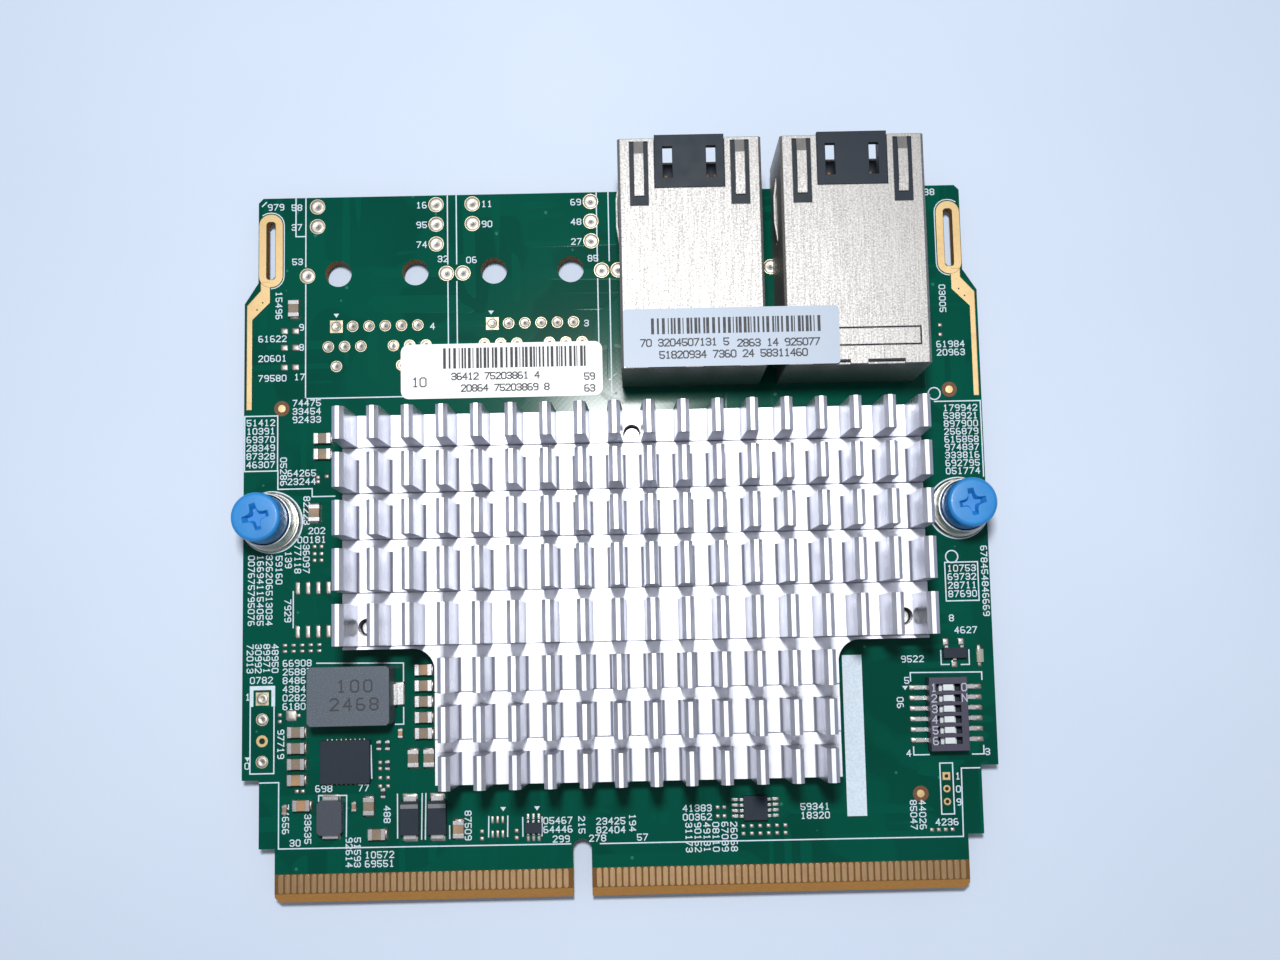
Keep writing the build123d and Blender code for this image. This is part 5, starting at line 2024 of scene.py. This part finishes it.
@dataclass(frozen=True)
class Lamp:
    """A square soft lamp that faces the card's middle.

    Attributes:
        name: its name.
        place: where it hangs, in metres.
        size: the length of its sides, in metres.
        power: its power, in watts.
    """

    name: str
    place: tuple[float, float, float]
    size: float
    power: float

    def hang(self, target: Sequence[float]) -> None:
        """Put the lamp in the scene and turn it.

        Args:
            target: the point that it faces, in metres.
        """
        light = bpy.data.lights.new(self.name, "AREA")
        light.size = self.size
        light.energy = self.power
        lamp = bpy.data.objects.new(self.name, light)
        lamp.location = self.place
        aim = np.array(target) - np.array(self.place)
        flat = math.hypot(aim[0], aim[1])
        lamp.rotation_euler = (math.atan2(flat, -aim[2]), 0.0, math.atan2(-aim[0], aim[1]))
        bpy.context.scene.collection.objects.link(lamp)


@dataclass
class Studio:
    """Floor, light and the photo's viewpoint."""

    floor_z: float = -1.42
    floor_size: float = 1.6
    floor_dark: Colour = srgb(206, 220, 241)
    floor_light: Colour = srgb(220, 233, 251)
    room: Colour = srgb(236, 240, 248)
    room_strength: float = 0.29
    card_middle: tuple[float, float, float] = (0.0, 0.044, 0.0)
    lamps: tuple[Lamp, ...] = (Lamp("flash", (-0.002, 0.09, 0.27), 0.03, 0.61),
                               Lamp("ceiling", (0.0, 0.05, 0.7), 0.8, 0.2))
    eye: tuple[float, float, float] = (2.22, 29.62, 190.94)
    look: tuple[float, float, float] = (6.242, -0.143, -1.229)
    focal_pixels: float = 1535.4
    image_width: int = 1280
    sensor: float = 36.0
    nearest: float = 0.01

    def floor(self) -> None:
        """Lay a pale table under the card, a little mottled."""
        half = self.floor_size / 2
        mesh = bpy.data.meshes.new("table")
        corners = [(-half, -half), (half, -half), (half, half), (-half, half)]
        mesh.from_pydata([(x, y, self.floor_z * MM) for x, y in corners], [], [(0, 1, 2, 3)])
        recipe = Recipe("table_paint")
        recipe.set({
            "Base Color": recipe.mix(recipe.noise(60.0, 3.0), self.floor_dark, self.floor_light),
            "Roughness": 0.7,
            "Normal": recipe.bump(recipe.noise(0.8, 3.0), 0.01),
        })
        mesh.materials.append(recipe.material)
        table = bpy.data.objects.new("table", mesh)
        bpy.context.scene.collection.objects.link(table)

    def world(self) -> None:
        """Light the card evenly from all round, as a bright room does."""
        world = bpy.data.worlds.new("soft_room")
        world.use_nodes = True
        back = world.node_tree.nodes["Background"]
        back.inputs["Color"].default_value = (*self.room, 1.0)
        back.inputs["Strength"].default_value = self.room_strength
        bpy.context.scene.world = world

    def camera(self) -> None:
        """Stand the camera where the photo was taken."""
        lens = bpy.data.cameras.new("photo_view")
        lens.sensor_fit = "HORIZONTAL"
        lens.sensor_width = self.sensor
        lens.lens = self.focal_pixels * self.sensor / self.image_width
        lens.clip_start = self.nearest
        view = bpy.data.objects.new("photo_view", lens)
        view.location = [part * MM for part in self.eye]
        view.rotation_euler = [math.radians(part) for part in self.look]
        bpy.context.scene.collection.objects.link(view)
        bpy.context.scene.camera = view

    def build(self) -> None:
        """Set the table, the light and the camera."""
        self.floor()
        self.world()
        for lamp in self.lamps:
            lamp.hang(self.card_middle)
        self.camera()
        bpy.context.scene.view_settings.view_transform = "Standard"


def main() -> None:
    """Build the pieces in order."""
    logging.basicConfig(level=logging.INFO, format="%(name)s: %(message)s")
    parts = (Studio(), BoardPrint(), BoardMetal(), EdgeConnector(), Jacks(), SlideSwitch(), PowerStage(),
             ChipParts(), BOARD_LABEL, JACK_LABEL, Heatsink())
    for part in parts:
        part.build()
    ferrules = [Thumbscrew("left", -42.5, 15.0).build(), Thumbscrew("right", 42.5, 10.0).build()]
    add_piece("turned_ferrules", joined(ferrules), TURNED, stands_for=["ferrules"])


if __name__ == "__main__":
    main()
